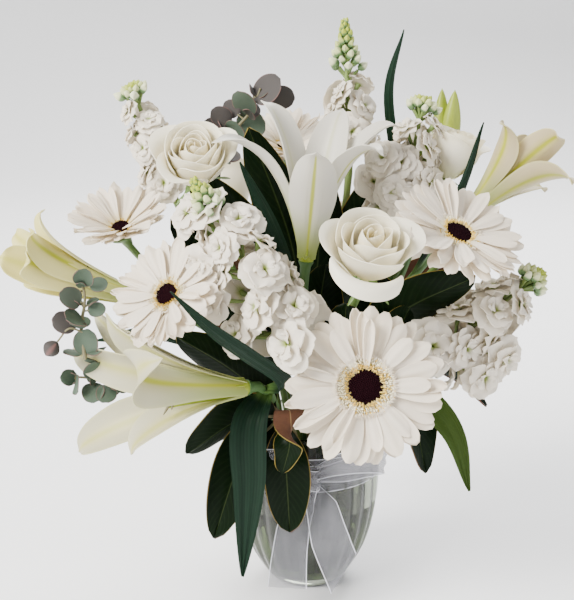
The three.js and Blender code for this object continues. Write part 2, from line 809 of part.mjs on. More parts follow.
// A floret: a funnel with a ruffled rim.
function floret(radius, depth, turn, grow) {
  const rim = Array.from({ length: 8 }, (_, k) => {
    const up = (k + turn) % 2 ? 1 : -1;
    return [radius * (1 + 0.1 * up) + grow, radius * 0.3 + up * 2.4];
  });
  const shifted = (by) => rim.map(([r, z]) => [r, z + by]);
  return ringForm(-depth - grow, grow ? [shifted(-grow), shifted(grow)] : [rim], radius * 0.26 + grow);
}

// The florets stand out of a core that narrows towards the top.
function stockFlorets(spec, grow) {
  const axis = spec.top.clone().sub(spec.low);
  const at = (share) => spec.low.clone().addScaledVector(axis, share);
  const thickness = [spec.reach * 0.55, spec.reach * 0.36];
  const core = rod([at(spec.from - 0.04), at(spec.to + 0.04)], thickness, 5, grow);
  const florets = floretPlaces(spec).map(({ place, facing, radius, depth }, k) =>
    placed(floret(radius, depth, k % 2, grow), frameOf(place, facing, k)),
  );
  return Manifold.union([core, ...florets]);
}

// The green of a stock: its stem, and the buds that crowd its tip.
function stockStem(name, { low, top, buds, to, size }, grow) {
  const axis = top.clone().sub(low).normalize();
  const frame = frameOf(low, axis);
  const long = top.distanceTo(low);
  const tips = Array.from({ length: buds }, (_, k) => {
    const share = (k + 0.5) / buds;
    const angle = k * GOLDEN;
    const out = vec(Math.cos(angle), Math.sin(angle), lerp(0.8, 2.6, share)).transformDirection(frame);
    const place = vec(0, 0, long * lerp(Math.min(0.88, to + 0.2), 0.98, share)).applyMatrix4(frame);
    return placed(bud(lerp(size, 9, share), lerp(7, 5, share), 3, grow), frameOf(place, out));
  });
  return Manifold.union([stemRod(name, grow, { end: [[12, 2.6], [-long, 1.7]] }), ...tips]);
}

// ---------------------------------------------------------------- eucalyptus

const eucalypts = [
  {
    name: 'top',
    arrive: vec(0.2, 0, 1),
    sprigs: [{ low: vec(-64, 36, 306), top: vec(-34, 32, 362), pairs: 3, leaf: 14, seed: 3 }],
  },
  {
    name: 'left',
    arrive: vec(-0.8, -0.4, 0.5),
    sprigs: [
      { low: vec(-150, -78, 194), top: vec(-155, -78, 248), pairs: 3, leaf: 11, seed: 5 },
      { low: vec(-106, -64, 168), top: vec(-166, -64, 174), pairs: 2, leaf: 10, seed: 8 },
    ],
  },
];

// A round leaf that starts beside the origin and lies along X, dished towards its middle.
function roundLeaf(radius, grow) {
  const count = 6;
  const middle = vec(radius + 0.6, 0, 0);
  const rim = Array.from({ length: count }, (_, k) =>
    polar(Math.PI * (1 + (2 * k) / count), radius, 0).add(middle),
  );
  const faces = rim.map((_, k) => [0, 1 + k, 1 + ((k + 1) % count)]);
  return thicken([middle.clone().setZ(-radius * 0.16), ...rim], faces, { thick: 0.8, grow });
}

function sprig({ low, top, pairs, leaf, seed }, grow) {
  const random = randomFrom(seed);
  const axis = top.clone().sub(low);
  const frame = frameOf(low, axis);
  const leaves = [];
  for (let pair = 0; pair < pairs; pair++) {
    const share = pair / (pairs - 0.5);
    for (const side of [0, 1]) {
      const size = leaf * (1.05 - 0.4 * share) * (0.9 + 0.2 * random());
      const turn = pair * 1.35 + side * Math.PI + (random() - 0.5) * 0.4;
      const pitch = -0.3 - share * 0.6 + (random() - 0.5) * 0.2;
      const pose = new THREE.Matrix4()
        .makeRotationZ(turn)
        .multiply(new THREE.Matrix4().makeRotationY(pitch))
        .premultiply(new THREE.Matrix4().makeTranslation(0, 0, axis.length() * (0.05 + share * 0.92)));
      leaves.push(placed(roundLeaf(size, grow), frame.clone().multiply(pose)));
    }
  }
  return [rod([low, top], [1.7, 1.1], 4, grow), ...leaves];
}

// The first sprig stands on the stem; any other grows from a fork below it.
function eucalyptus(name, { sprigs }, grow) {
  const fork = pointOnStem(name, 0.7);
  const branches = sprigs.slice(1).map(({ low }) => rod([fork, low], [1.7, 1.7], 4, grow));
  const stem = stemRod(name, grow, { sides: 4, end: [[8, 1.7], [-1, 1.7]] });
  return Manifold.union([stem, ...branches, ...sprigs.flatMap((one) => sprig(one, grow))]);
}

// ---------------------------------------------------------------- magnolia foliage

// Each branch ends at `knot`; a leaf runs from there through `path`, and `across` lies along its width.
const magnolias = [
  {
    name: 'front',
    knot: vec(-18, -56, 146),
    out: vec(-0.3, -0.7, 0.5),
    leaves: [
      { path: [vec(-46, -66, 148), vec(-84, -76, 126)], wide: 38, across: vec(0.25, -0.35, 1) },
      { path: [vec(-44, -68, 122), vec(-66, -74, 62)], wide: 36, across: vec(1, 0.1, 0.4) },
      { path: [vec(-16, -74, 122), vec(-13, -77, 68)], wide: 32, across: vec(1, 0.15, 0.1) },
      { path: [vec(-14, -80, 156), vec(-15, -90, 118)], wide: 22, across: vec(0.8, 0.5, 0.3) },
    ],
  },
  {
    name: 'right',
    knot: vec(48, -34, 176),
    out: vec(0.7, -0.5, 0.5),
    leaves: [
      { path: [vec(60, -56, 218), vec(110, -72, 250)], wide: 38, across: vec(0.9, 0.1, -0.7) },
      { path: [vec(92, -30, 172), vec(128, -24, 142)], wide: 40, across: vec(0, 1, 0.1) },
      { path: [vec(70, -50, 154), vec(82, -62, 106)], wide: 34, across: vec(0.7, 0.6, 0) },
    ],
  },
  {
    name: 'middle',
    knot: vec(2, -52, 172),
    out: vec(0, -0.6, 0.8),
    leaves: [
      { path: [vec(-20, -72, 196), vec(-42, -76, 232)], wide: 36, across: vec(0.9, -0.3, 0.4) },
      { path: [vec(20, -76, 196), vec(24, -84, 234)], wide: 38, across: vec(1, 0.1, 0) },
      { path: [vec(48, -62, 190), vec(68, -60, 226)], wide: 36, across: vec(0.7, 0.3, -0.6) },
    ],
  },
  {
    name: 'rear',
    knot: vec(0, 50, 162),
    out: vec(0, 0.9, 0.5),
    leaves: [
      { path: [vec(-36, 84, 168), vec(-84, 112, 148)], wide: 42, across: vec(0.6, 0.8, 0.2) },
      { path: [vec(36, 86, 166), vec(84, 112, 150)], wide: 42, across: vec(-0.6, 0.8, 0.2) },
      { path: [vec(0, 92, 170), vec(4, 132, 142)], wide: 44, across: vec(1, 0, 0.1) },
      { path: [vec(-10, 86, 206), vec(-22, 112, 262)], wide: 40, across: vec(1, 0.2, 0) },
    ],
  },
];

function magnoliaLeaf(knot, { path, wide, across }, grow) {
  const curve = new THREE.CatmullRomCurve3([knot, ...path]);
  const middle = (u, share) => {
    const v = share ** 1.25;
    const full = v < 0.2 ? 0.13 : Math.max(0.1, Math.sin(Math.PI * (0.2 + 0.76 * v)) ** 0.7);
    const half = (wide / 2) * full;
    const ahead = curve.getTangent(v);
    const side = across.clone().addScaledVector(ahead, -across.dot(ahead)).normalize();
    const face = ahead.clone().cross(side);
    return curve.getPoint(v).addScaledVector(side, u * half).addScaledVector(face, u * u * half * 0.22);
  };
  return blade(middle, { along: 4, across: 2, grow });
}

function magnolia(name, { knot, leaves }, grow) {
  const joint = placed(bud(9, 9, 5, grow), new THREE.Matrix4().makeTranslation(knot.x, knot.y, knot.z - 4));
  const blades = leaves.map((leaf) => magnoliaLeaf(knot, leaf, grow));
  return Manifold.union([stemRod(name, grow, { end: [[8, 2.6], [0, 2.8]] }), joint, ...blades]);
}

// ---------------------------------------------------------------- the bunch

gerberas.forEach((g) => addStem(`gerbera_${g.name}_stem`, g.at, g.facing, 2.6));
roses.forEach((r) => addStem(`rose_${r.name}_stem`, r.at, r.facing, 2.6));
lilies.forEach((l) => addStem(`lily_${l.name}_stem`, l.at, l.facing, 3.4));
stocks.forEach((s) => addStem(`stock_${s.name}_stem`, s.low, s.top.clone().sub(s.low), 2.8));
eucalypts.forEach(({ name, arrive, sprigs }) => addStem(`eucalyptus_${name}`, sprigs[0].low, arrive, 1.7));
magnolias.forEach((m) => addStem(`magnolia_${m.name}`, m.knot, m.out, 2.6));
settleStems();

// Every piece is made by a function of `grow`; `home` is where its mesh stands.
const pieces = [];
const piece = (name, colour, home, make) => pieces.push({ name, colour, home, make });
const upright = new THREE.Matrix4();

piece('vase', 'glass', upright, vase);
piece('ribbon_band', 'organza', upright, ribbonBand);
gerberas.forEach((g) => {
  const home = frameOf(g.at, g.facing);
  const stem = `gerbera_${g.name}_stem`;
  piece(stem, 'stemGreen', upright, (grow) => gerberaStem(stem, grow));
  piece(`gerbera_${g.name}_rays`, 'gerberaWhite', home, (grow) => placed(gerberaRays(g, grow), home));
  piece(`gerbera_${g.name}_eye`, 'gerberaEye', home, (grow) => placed(gerberaEye(grow), home));
});
roses.forEach((r) => {
  const home = frameOf(r.at, r.facing);
  piece(`rose_${r.name}_stem`, 'stemGreen', upright, (grow) => roseStem(`rose_${r.name}_stem`, grow));
  piece(`rose_${r.name}_petals`, 'roseIvory', home, (grow) => placed(roseBloom(r, grow), home));
});
lilies.forEach((l) => {
  const home = frameOf(l.at, l.facing, l.turn);
  piece(`lily_${l.name}_stem`, 'lilyGreen', upright, (grow) => lilyStem(`lily_${l.name}_stem`, l.name, grow));
  piece(`lily_${l.name}_tepals`, 'lilyCream', home, (grow) => placed(lilyBloom(l, grow), home));
});
stocks.forEach((s) => {
  piece(`stock_${s.name}_stem`, 'stockGreen', upright, (grow) => stockStem(`stock_${s.name}_stem`, s, grow));
  piece(`stock_${s.name}_florets`, 'stockWhite', upright, (grow) => stockFlorets(s, grow));
});
eucalypts.forEach((e) => {
  const name = `eucalyptus_${e.name}`;
  piece(name, 'eucalyptus', upright, (grow) => eucalyptus(name, e, grow));
});
magnolias.forEach((m) => {
  const name = `magnolia_${m.name}`;
  piece(name, 'magnolia', upright, (grow) => magnolia(name, m, grow));
});
piece('ribbon_bow', 'organza', upright, ribbonBow);
piece('water', 'water', upright, water);

// ---------------------------------------------------------------- clearances and meshes

const largestBody = (solid) => solid.decompose().sort((a, b) => b.volume() - a.volume())[0];

// Each piece is cut back, with a clear gap, where it would meet one made before it.
const finished = [];
for (const { name, colour, home, make } of pieces) {
  let solid = make(0);
  for (const earlier of finished) solid = solid.subtract(earlier.clearance);
  solid = largestBody(solid.simplify(0.02));
  finished.push({ name, colour, home, solid, clearance: make(GAP) });
}

const centrepiece = new THREE.Group();
for (const { name, colour, home, solid } of finished) {
  const mesh = new THREE.Mesh(
    geometryOf(placed(solid, home.clone().invert())),
    new THREE.MeshStandardMaterial({ name: colour, ...PALETTE[colour] }),
  );
  mesh.name = name;
  home.decompose(mesh.position, mesh.quaternion, mesh.scale);
  centrepiece.add(mesh);
}

export default centrepiece;
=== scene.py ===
# %% [markdown]
# # White flowers in a glass vase
# A table centrepiece: gerberas, roses, lilies and stock stand with eucalyptus and magnolia leaves in a
# round glass vase of water, and a sheer ribbon is tied round its neck. The plain solids of the frame say
# where each bloom, stem and leaf is. Each cell here makes one kind of piece finely, in its place.

# %% The frame
import math

import bpy
import numpy as np
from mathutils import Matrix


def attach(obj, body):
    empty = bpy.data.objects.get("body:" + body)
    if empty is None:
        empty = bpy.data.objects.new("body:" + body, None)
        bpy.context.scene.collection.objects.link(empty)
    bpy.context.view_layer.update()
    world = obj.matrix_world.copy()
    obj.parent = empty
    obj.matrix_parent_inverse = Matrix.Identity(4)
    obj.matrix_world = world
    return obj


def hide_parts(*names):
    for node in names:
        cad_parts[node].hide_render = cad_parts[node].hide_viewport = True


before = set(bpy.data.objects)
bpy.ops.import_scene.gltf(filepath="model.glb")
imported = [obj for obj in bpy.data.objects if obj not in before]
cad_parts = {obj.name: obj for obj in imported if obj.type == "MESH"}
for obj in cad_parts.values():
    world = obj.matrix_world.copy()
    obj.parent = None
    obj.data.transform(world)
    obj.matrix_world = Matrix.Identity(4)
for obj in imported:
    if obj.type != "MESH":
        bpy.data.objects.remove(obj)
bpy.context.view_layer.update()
print("nodes in the frame:", len(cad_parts))


def lerp(first, second, share):
    return first + (second - first) * share


def add_object(name, data):
    made = bpy.data.objects.new(name, data)
    bpy.context.scene.collection.objects.link(made)
    return made


# %% [markdown]
# ## Camera, floor and light
# The photograph looks down on the flowers by fifteen degrees from about a metre away, so the camera does
# too. A florist's table by a window has soft light from one side. Three broad lamps and a bright surround
# give that, and a pale floor that bends up into a wall leaves no horizon behind the flowers.

# %% Camera
MM = 0.001
VIEW = {
    "down": math.radians(15),
    "distance": 1000 * MM,
    "target": (-15 * MM, 0, 214 * MM),
    "lens": 83.34,
    "nearest": 10 * MM,
}


def make_camera():
    camera = add_object("camera", bpy.data.cameras.new("camera"))
    x, y, z = VIEW["target"]
    away = VIEW["distance"]
    camera.location = (x, y - away * math.cos(VIEW["down"]), z + away * math.sin(VIEW["down"]))
    camera.rotation_euler = (math.pi / 2 - VIEW["down"], 0, 0)
    camera.data.lens = VIEW["lens"]
    camera.data.clip_start = VIEW["nearest"]
    bpy.context.scene.camera = camera
    return camera


print("camera at", tuple(round(c, 3) for c in make_camera().location))

# %% Floor and light
FLOOR = {"front": -3.0, "bend": 1.6, "radius": 1.2, "half_width": 4.0, "top": 4.5, "steps": 12}
LAMPS = {  # metres and watts
    "window_left": {"at": (-1.5, -1.1, 1.5), "size": 1.3, "power": 150, "tint": (1.0, 0.98, 0.945)},
    "room_right": {"at": (1.7, -0.9, 0.9), "size": 1.6, "power": 18, "tint": (0.97, 0.98, 1.0)},
    "behind": {"at": (0.3, 1.3, 1.4), "size": 1.2, "power": 54, "tint": (1.0, 1.0, 1.0)},
}
LAMPS_AIM = (0, 0, 0.22)
SURROUND = {"Color": (0.93, 0.95, 1.0, 1), "Strength": 0.64}


def make_floor():
    """A floor that bends up into a wall behind the flowers."""
    f = FLOOR
    turns = [k * math.pi / 2 / f["steps"] for k in range(f["steps"] + 1)]
    bend = [(f["bend"] + f["radius"] * math.sin(a), f["radius"] * (1 - math.cos(a))) for a in turns]
    line = [(f["front"], 0.0), *bend, (f["bend"] + f["radius"], f["top"])]
    points = [(x, y, z) for y, z in line for x in (-f["half_width"], f["half_width"])]
    faces = [(2 * k, 2 * k + 1, 2 * k + 3, 2 * k + 2) for k in range(len(line) - 1)]
    mesh = bpy.data.meshes.new("floor")
    mesh.from_pydata(points, [], faces)
    mesh.shade_smooth()
    floor = add_object("floor", mesh)
    return floor


def soft_lamp(name, at, size, power, tint):
    """A round lamp that looks at the middle of the flowers."""
    lamp = bpy.data.lights.new(name, "AREA")
    lamp.shape = "DISK"
    lamp.size = size
    lamp.energy = power
    lamp.color = tint
    holder = add_object(name, lamp)
    holder.location = at
    x, y, z = np.array(LAMPS_AIM) - np.array(at)
    tilt = math.pi / 2 + math.atan2(z, math.hypot(x, y))
    holder.rotation_euler = (tilt, 0, math.atan2(y, x) - math.pi / 2)


floor = make_floor()
for name, lamp in LAMPS.items():
    soft_lamp(name, **lamp)
world = bpy.data.worlds.new("surround")
bpy.context.scene.world = world
world.use_nodes = True
for key, value in SURROUND.items():
    world.node_tree.nodes["Background"].inputs[key].default_value = value
print("stage: one floor and", len(LAMPS), "lamps")

# %% [markdown]
# ## Writing finishes as sums
# A petal's finish is a few sums on numbers that vary over it, such as how far along it a point lies.
# Written as plain Python expressions they are easy to read: a `Field` wraps one socket, and each
# operator on it adds a Math node.

# %% Fields and finishes
class Field:
    """One output socket of a finish. Sums on it add Math nodes."""

    def __init__(self, finish, socket):
        self.finish = finish
        self.socket = socket

    def math(self, operation, first, second=0.0):
        inputs = {0: first, 1: second}
        return self.finish.node("ShaderNodeMath", {"operation": operation}, inputs)

    def __add__(self, other):
        return self.math("ADD", self, other)

    def __sub__(self, other):
        return self.math("SUBTRACT", self, other)

    def __rsub__(self, other):
        return self.math("SUBTRACT", other, self)

    def __mul__(self, other):
        return self.math("MULTIPLY", self, other)

    def __pow__(self, other):
        return self.math("POWER", self, other)

    def __abs__(self):
        return self.math("ABSOLUTE", self)

    __radd__ = __add__
    __rmul__ = __mul__

    def sin(self):
        return self.math("SINE", self)

    def step(self, low, high):
        """Nought below `low` and one above `high`, with a smooth rise between."""
        settings = {"interpolation_type": "SMOOTHSTEP"}
        return self.finish.node("ShaderNodeMapRange", settings, {"Value": self, 1: low, 2: high})


# %% Finishes
class Finish:
    """A material whose nodes are added by the calls below."""

    def __init__(self, name):
        self.material = bpy.data.materials.new(name)
        self.material.use_nodes = True
        self.tree = self.material.node_tree
        self.tree.nodes.clear()

    def node(self, kind, settings=None, inputs=None, output=0):
        made = self.tree.nodes.new(kind)
        for key, value in (settings or {}).items():
            setattr(made, key, value)
        for key, value in (inputs or {}).items():
            if isinstance(value, Field):
                self.tree.links.new(value.socket, made.inputs[key])
            else:
                made.inputs[key].default_value = value
        return Field(self, made.outputs[output])

    def mark(self, name):
        """A number kept at the points of the mesh: along, across or shade."""
        return self.node("ShaderNodeAttribute", {"attribute_name": name}, output="Fac")

    def blend(self, share, first, second):
        colours = {0: share, 6: first, 7: second}
        return self.node("ShaderNodeMix", {"data_type": "RGBA"}, colours, output=2)

    def place(self):
        return self.node("ShaderNodeTexCoord", output="Object")

    def grain(self, scale, detail=2.0, vector=None):
        inputs = {"Vector": vector or self.place(), "Scale": scale, "Detail": detail}
        return self.node("ShaderNodeTexNoise", inputs=inputs)

    def streaks(self, fine, coarse):
        """Grain drawn out along the petal or leaf, different on each of them."""
        apart = 37.0
        parts = {0: self.mark("across") * fine, 1: self.mark("along") * coarse, 2: self.mark("shade") * apart}
        return self.grain(1.0, 3.0, self.node("ShaderNodeCombineXYZ", inputs=parts))

    def bump(self, height, strength, depth):
        inputs = {"Height": height, "Strength": strength, "Distance": depth}
        return self.node("ShaderNodeBump", inputs=inputs)

    def surface(self, tone, roughness, normal=None, **constants):
        """A plain surface. A constant such as Coat_Weight sets the input of that name."""
        inputs = {"Base Color": tone, "Roughness": roughness}
        inputs.update({key.replace("_", " "): value for key, value in constants.items()})
        if normal:
            inputs["Normal"] = normal
        return self.node("ShaderNodeBsdfPrincipled", inputs=inputs)

    def lit_through(self, shader, tint, share):
        """Lets some of the light come through from the other side, as it does in a petal."""
        through = self.node("ShaderNodeBsdfTranslucent", inputs={"Color": tint})
        return self.node("ShaderNodeMixShader", inputs={0: share, 1: shader, 2: through})

    def done(self, shader):
        end = self.tree.nodes.new("ShaderNodeOutputMaterial")
        self.tree.links.new(shader.socket, end.inputs["Surface"])
        return self.material


def colour(red, green, blue):
    return (red, green, blue, 1.0)


def floor_finish():
    f = Finish("floor")
    tone = f.blend(f.grain(3.0), colour(0.94, 0.94, 0.94), colour(0.96, 0.96, 0.96))
    return f.done(f.surface(tone, 0.7))


floor.data.materials.append(floor_finish())
print("the floor has its finish")

# %% [markdown]
# ## Petal finishes
# White petals aren't one white. A gerbera's ray is cream at its root, a rose is ivory and yellower in its
# heart, a lily has a green rib, and stock is green where its petals meet. All have fine streaks along
# them, and thin tissue that lets light through, so each finish mixes in some light from behind.

# %% Petal finishes
def petal_finish(name, white, root, root_ends):
    """A white petal with another tone at its root, up to `root_ends` of its length, and darker streaks."""
    f = Finish(name)
    along = f.mark("along")
    streaks = f.streaks(9.0, 1.3)
    base = f.blend(along.step(0.0, root_ends), root, white)
    darker = colour(*(c * 0.85 for c in white[:3]))
    tone = f.blend(streaks.step(0.5, 0.95) * 0.5, base, darker)
    shader = f.surface(tone, 0.55 + streaks * 0.1, f.bump(streaks, 0.35, 0.3 * MM))
    return f.done(f.lit_through(shader, white, 0.3))


def rose_finish():
    f = Finish("rose_petal")
    along = f.mark("along")
    heart = f.mark("shade")
    ivory = f.blend(heart.step(0.0, 0.6), colour(0.985, 0.885, 0.58), colour(0.965, 0.93, 0.80))
    base = f.blend(along.step(0.0, 0.5), colour(0.86, 0.85, 0.55), ivory)
    lip = f.blend(along.step(0.82, 1.0) * 0.6, base, colour(0.965, 0.93, 0.80))
    streaks = f.streaks(7.0, 1.2)
    shader = f.surface(lip, 0.48 + streaks * 0.1, f.bump(streaks, 0.25, 0.3 * MM))
    return f.done(f.lit_through(shader, colour(0.98, 0.93, 0.76), 0.34))


def lily_finish(name, white, yellow, ribbed):
    """A tepal's face or back.

    `yellow` says how far the bloom is still closed, because a lily opens from green through cream to white,
    and `ribbed` how strong the green rib is, which runs down the back of a tepal."""
    f = Finish(name)
    along = f.mark("along")
    aside = abs(f.mark("across"))
    throat = f.blend(along.step(0.0, 0.42), colour(0.36, 0.44, 0.10), white)
    flush = f.blend((1 - aside.step(0.0, 0.62)) * (0.08 + 0.74 * yellow), throat, colour(0.60, 0.55, 0.14))
    rib = (1 - aside.step(0.03, 0.13 + 0.14 * yellow)) * (1 - along.step(0.86, 1.0)) * ribbed
    green = f.blend(rib, flush, colour(0.46, 0.50, 0.01))
    edge = f.blend(aside.step(0.86, 1.0) * (0.05 + 0.45 * yellow), green, colour(0.80, 0.78, 0.36))
    streaks = f.streaks(11.0, 0.8)
    shader = f.surface(edge, 0.42 + streaks * 0.12, f.bump(streaks, 0.4, 0.4 * MM))
    return f.done(f.lit_through(shader, white, 0.26))


def eye_finish():
    """Shade is nought on the dark florets of the disc and one on the golden ring round it."""
    f = Finish("gerbera_eye")
    along = f.mark("along")
    gold = f.mark("shade")
    dark = f.blend(along.step(0.6, 1.0), colour(0.004, 0.001, 0.002), colour(0.014, 0.002, 0.004))
    bright = f.blend(along.step(0.15, 0.6), colour(0.78, 0.70, 0.40), colour(0.80, 0.56, 0.12))
    pale = f.blend(gold.step(0.66, 0.72), bright, colour(0.90, 0.84, 0.62))
    tone = f.blend(gold.step(0.2, 0.4), dark, pale)
    return f.done(f.surface(tone, 0.8 + f.grain(400.0) * 0.15, Specular_IOR_Level=0.05))


gerbera_white = petal_finish("gerbera_ray", colour(0.90, 0.82, 0.69), colour(0.76, 0.66, 0.38), 0.35)
stock_white = petal_finish("stock_petal", colour(0.88, 0.82, 0.71), colour(0.33, 0.43, 0.07), 0.36)
rose_ivory = rose_finish()
lily_coats = {}
for stage, white, yellow in (
    ("open", colour(0.70, 0.67, 0.59), 0.0),
    ("opening", colour(0.57, 0.54, 0.37), 0.6),
    ("closed", colour(0.74, 0.68, 0.27), 0.9),
    ("tinged", colour(0.59, 0.50, 0.30), 0.8),
):
    lily_coats[stage] = (
        lily_finish(f"lily_{stage}_inside", white, yellow, ribbed=0.25),
        lily_finish(f"lily_{stage}_back", white, yellow, ribbed=0.95),
    )
gerbera_dark = eye_finish()
print("petal finishes:", gerbera_white.name, rose_ivory.name, stock_white.name, list(lily_coats))

# %% [markdown]
# ## Leaf and stem finishes
# Magnolia leaves are dark and polished above with a pale rib and a thin golden edge, and are rusty felt
# below. Their dark green is near black: partly their own colour and partly painted shade of the bunch's
# inside. Lily leaves have veins that all run lengthwise, and one of them is a fresher green. Eucalyptus is
# grey with a bloom of wax and is flushed with purple. Stems are fresh green, streaked lengthwise.

# %% Leaf and stem finishes
def magnolia_finish():
    f = Finish("magnolia_above_and_painted_shade")
    along = f.mark("along")
    aside = abs(f.mark("across"))
    veins = (along * 62.0 - aside * 11.0).sin() ** 8.0
    rib = 1 - aside.step(0.0, 0.05)
    patches = f.grain(26.0, 3.0)
    # Near-black greens: partly the leaf's own dark green, and partly painted shade of the bunch's inside.
    green = f.blend(patches, colour(0.001, 0.004, 0.001), colour(0.004, 0.011, 0.003))
    veined = f.blend(veins * 0.04 * (1 - aside.step(0.7, 1.0)), green, colour(0.05, 0.09, 0.03))
    ribbed = f.blend(rib * 0.4, veined, colour(0.06, 0.085, 0.025))
    edged = f.blend(aside.step(0.962, 0.985), ribbed, colour(0.20, 0.15, 0.035))
    height = patches * 0.5 - veins * 0.25 - rib * 0.5
    dents = f.bump(height, 0.5, 0.5 * MM)
    gloss = {"Coat_Weight": 0.02, "Coat_Roughness": 0.22, "Specular_IOR_Level": 0.05}
    return f.done(f.surface(edged, 0.30 + patches * 0.16, dents, **gloss))


def felt_finish():
    f = Finish("magnolia_below")
    felt = f.grain(420.0, 4.0)
    rib = 1 - abs(f.mark("across")).step(0.0, 0.06)
    rust = f.blend(felt, colour(0.055, 0.018, 0.007), colour(0.11, 0.042, 0.017))
    ribbed = f.blend(rib * 0.6, rust, colour(0.32, 0.20, 0.08))
    return f.done(f.surface(ribbed, 0.9, f.bump(felt, 0.6, 0.3 * MM)))


def lily_leaf_finish():
    f = Finish("lily_leaf")
    along = f.mark("along")
    across = f.mark("across")
    veins = (across * 34.0).sin()
    broad = (across * 9.0).sin()
    tone = f.blend(f.streaks(2.2, 1.0), colour(0.002, 0.009, 0.005), colour(0.006, 0.024, 0.012))
    lines = f.blend((veins * 0.5 + 0.5) * 0.3, tone, colour(0.015, 0.044, 0.022))
    fresh = f.blend(f.mark("shade").step(0.5, 0.8), lines, colour(0.055, 0.095, 0.010))
    root = f.blend(along.step(0.0, 0.15), colour(0.12, 0.22, 0.05), fresh)
    shader = f.surface(root, 0.52, f.bump(veins * 0.3 + broad, 0.6, 0.4 * MM), Specular_IOR_Level=0.14)
    return f.done(f.lit_through(shader, colour(0.10, 0.22, 0.05), 0.12))


def stem_finish(name, dark, light, rough):
    """Streaks between a dark and a light tone, with fine spots."""
    f = Finish(name)
    streaks = f.streaks(5.0, 9.0)
    spots = f.grain(160.0, 4.0)
    tone = f.blend(streaks * 0.7 + spots * 0.3, dark, light)
    return f.done(f.surface(tone, rough + spots * 0.1, f.bump(streaks + spots * 0.4, 0.3, 0.3 * MM)))


def stock_bud_finish():
    """A green cup below and the folded petals above, which are greener in the youngest buds."""
    f = Finish("stock_bud")
    along = f.mark("along")
    young = f.blend(f.mark("shade"), colour(0.78, 0.79, 0.58), colour(0.34, 0.40, 0.025))
    tone = f.blend(along.step(0.38, 0.62), colour(0.12, 0.21, 0.08), young)
    grain = f.grain(300.0, 3.0)
    return f.done(f.surface(tone, 0.6 + grain * 0.1, f.bump(grain, 0.3, 0.3 * MM)))


def eucalyptus_finish():
    f = Finish("eucalyptus_leaf")
    across = abs(f.mark("across"))
    patches = f.grain(70.0, 3.0)
    grey = f.blend(patches, colour(0.040, 0.066, 0.040), colour(0.080, 0.112, 0.080))
    purple = f.blend(f.mark("shade").step(0.3, 1.0) * 0.75, grey, colour(0.042, 0.024, 0.029))
    rib = 1 - abs(f.mark("along")).step(0.0, 0.06)
    ribbed = f.blend(rib * 0.5, purple, colour(0.30, 0.33, 0.22))
    rim = f.blend(across.step(0.9, 1.0) * 0.7, ribbed, colour(0.17, 0.085, 0.075))
    dents = f.bump(patches, 0.3, 0.4 * MM)
    return f.done(f.surface(rim, 0.62 + patches * 0.15, dents, Specular_IOR_Level=0.3))


magnolia_above_and_painted_shade = magnolia_finish()
magnolia_below = felt_finish()
lily_leaf_green = lily_leaf_finish()
stem_green = stem_finish("stem", colour(0.060, 0.125, 0.024), colour(0.15, 0.24, 0.055), 0.42)
stock_green = stem_finish("stock_stem", colour(0.09, 0.155, 0.032), colour(0.22, 0.30, 0.08), 0.55)
lily_stem_green = stem_finish("lily_stem", colour(0.045, 0.11, 0.035), colour(0.11, 0.21, 0.06), 0.45)
bud_green = stem_finish("lily_bud", colour(0.20, 0.27, 0.012), colour(0.37, 0.43, 0.04), 0.42)
stock_bud = stock_bud_finish()
twig_brown = stem_finish("twig", colour(0.10, 0.085, 0.045), colour(0.21, 0.19, 0.09), 0.6)
eucalyptus_grey = eucalyptus_finish()
print("leaf finishes:", magnolia_above_and_painted_shade.name, lily_leaf_green.name, eucalyptus_grey.name)

# %% [markdown]
# ## Glass, water and organza
# Glass and water let all of their light through, and differ in how much they bend it. Each has a green tint,
# which stands for the shade of the flowers over them and for their thickness. Organza is a fine open weave.
# Here its threads are drawn by the alpha, and its woven edge is closer, so it shows as a brighter line.

# %% Glass, water and organza
def clear_finish(name, tint, bend):
    f = Finish(name)
    clear = {"Transmission Weight": 1.0, "IOR": bend, "Roughness": 0.0, "Base Color": tint}
    return f.done(f.node("ShaderNodeBsdfPrincipled", inputs=clear))


def organza_finish():
    f = Finish("organza")
    along = f.mark("along")
    across = f.mark("across")
    weave = ((along * 900.0).sin() * 0.5 + 0.5) * 0.3 + ((across * 160.0).sin() * 0.5 + 0.5) * 0.3
    cloud = f.grain(60.0, 3.0)
    edge = abs(across).step(0.93, 0.97)
    cover = 0.20 + weave * 0.16 + cloud * 0.14 + edge * 0.45
    tone = f.blend(cloud, colour(0.19, 0.19, 0.215), colour(0.30, 0.30, 0.33))
    bright = f.blend(edge, tone, colour(0.78, 0.78, 0.85))
    return f.done(f.surface(bright, 0.42, f.bump(weave, 0.3, 0.1 * MM), Alpha=cover, Sheen_Weight=0.3))


glass_clear = clear_finish("glass", colour(0.36, 0.40, 0.31), 1.5)
water_clear = clear_finish("water", colour(0.40, 0.47, 0.29), 1.33)
organza_sheer = organza_finish()
print("clear finishes:", glass_clear.name, water_clear.name, organza_sheer.name)

# %% [markdown]
# ## Sheets, rods and closed forms
# Almost everything here is one of three shapes: a thin sheet such as a petal, a rod such as a stem, or a
# closed form such as a bud. Each is worked out from a formula on a grid of numbers, which is quick and
# gives full control of every edge. A `Tissue` gathers the shapes of one piece, and gives its sheets their
# thickness.

# %% Points and places
GOLDEN = math.pi * (3 - math.sqrt(5))


def vec(*numbers):
    return np.array(numbers, float)


def unit(vector):
    return vector / np.linalg.norm(vector)


def rise(value, low, high):
    """Nought below `low`, one above `high`, smooth between."""
    share = np.clip((value - low) / (high - low), 0, 1)
    return share * share * (3 - 2 * share)


def stack(x, y, z):
    return np.stack(np.broadcast_arrays(x, y, z), axis=-1)


def polar(angle, r, z, side=0.0):
    """The point at an angle and distance from the Z axis, moved sideways round it, at height z."""
    return stack(r * np.cos(angle) - side * np.sin(angle), r * np.sin(angle) + side * np.cos(angle), z)


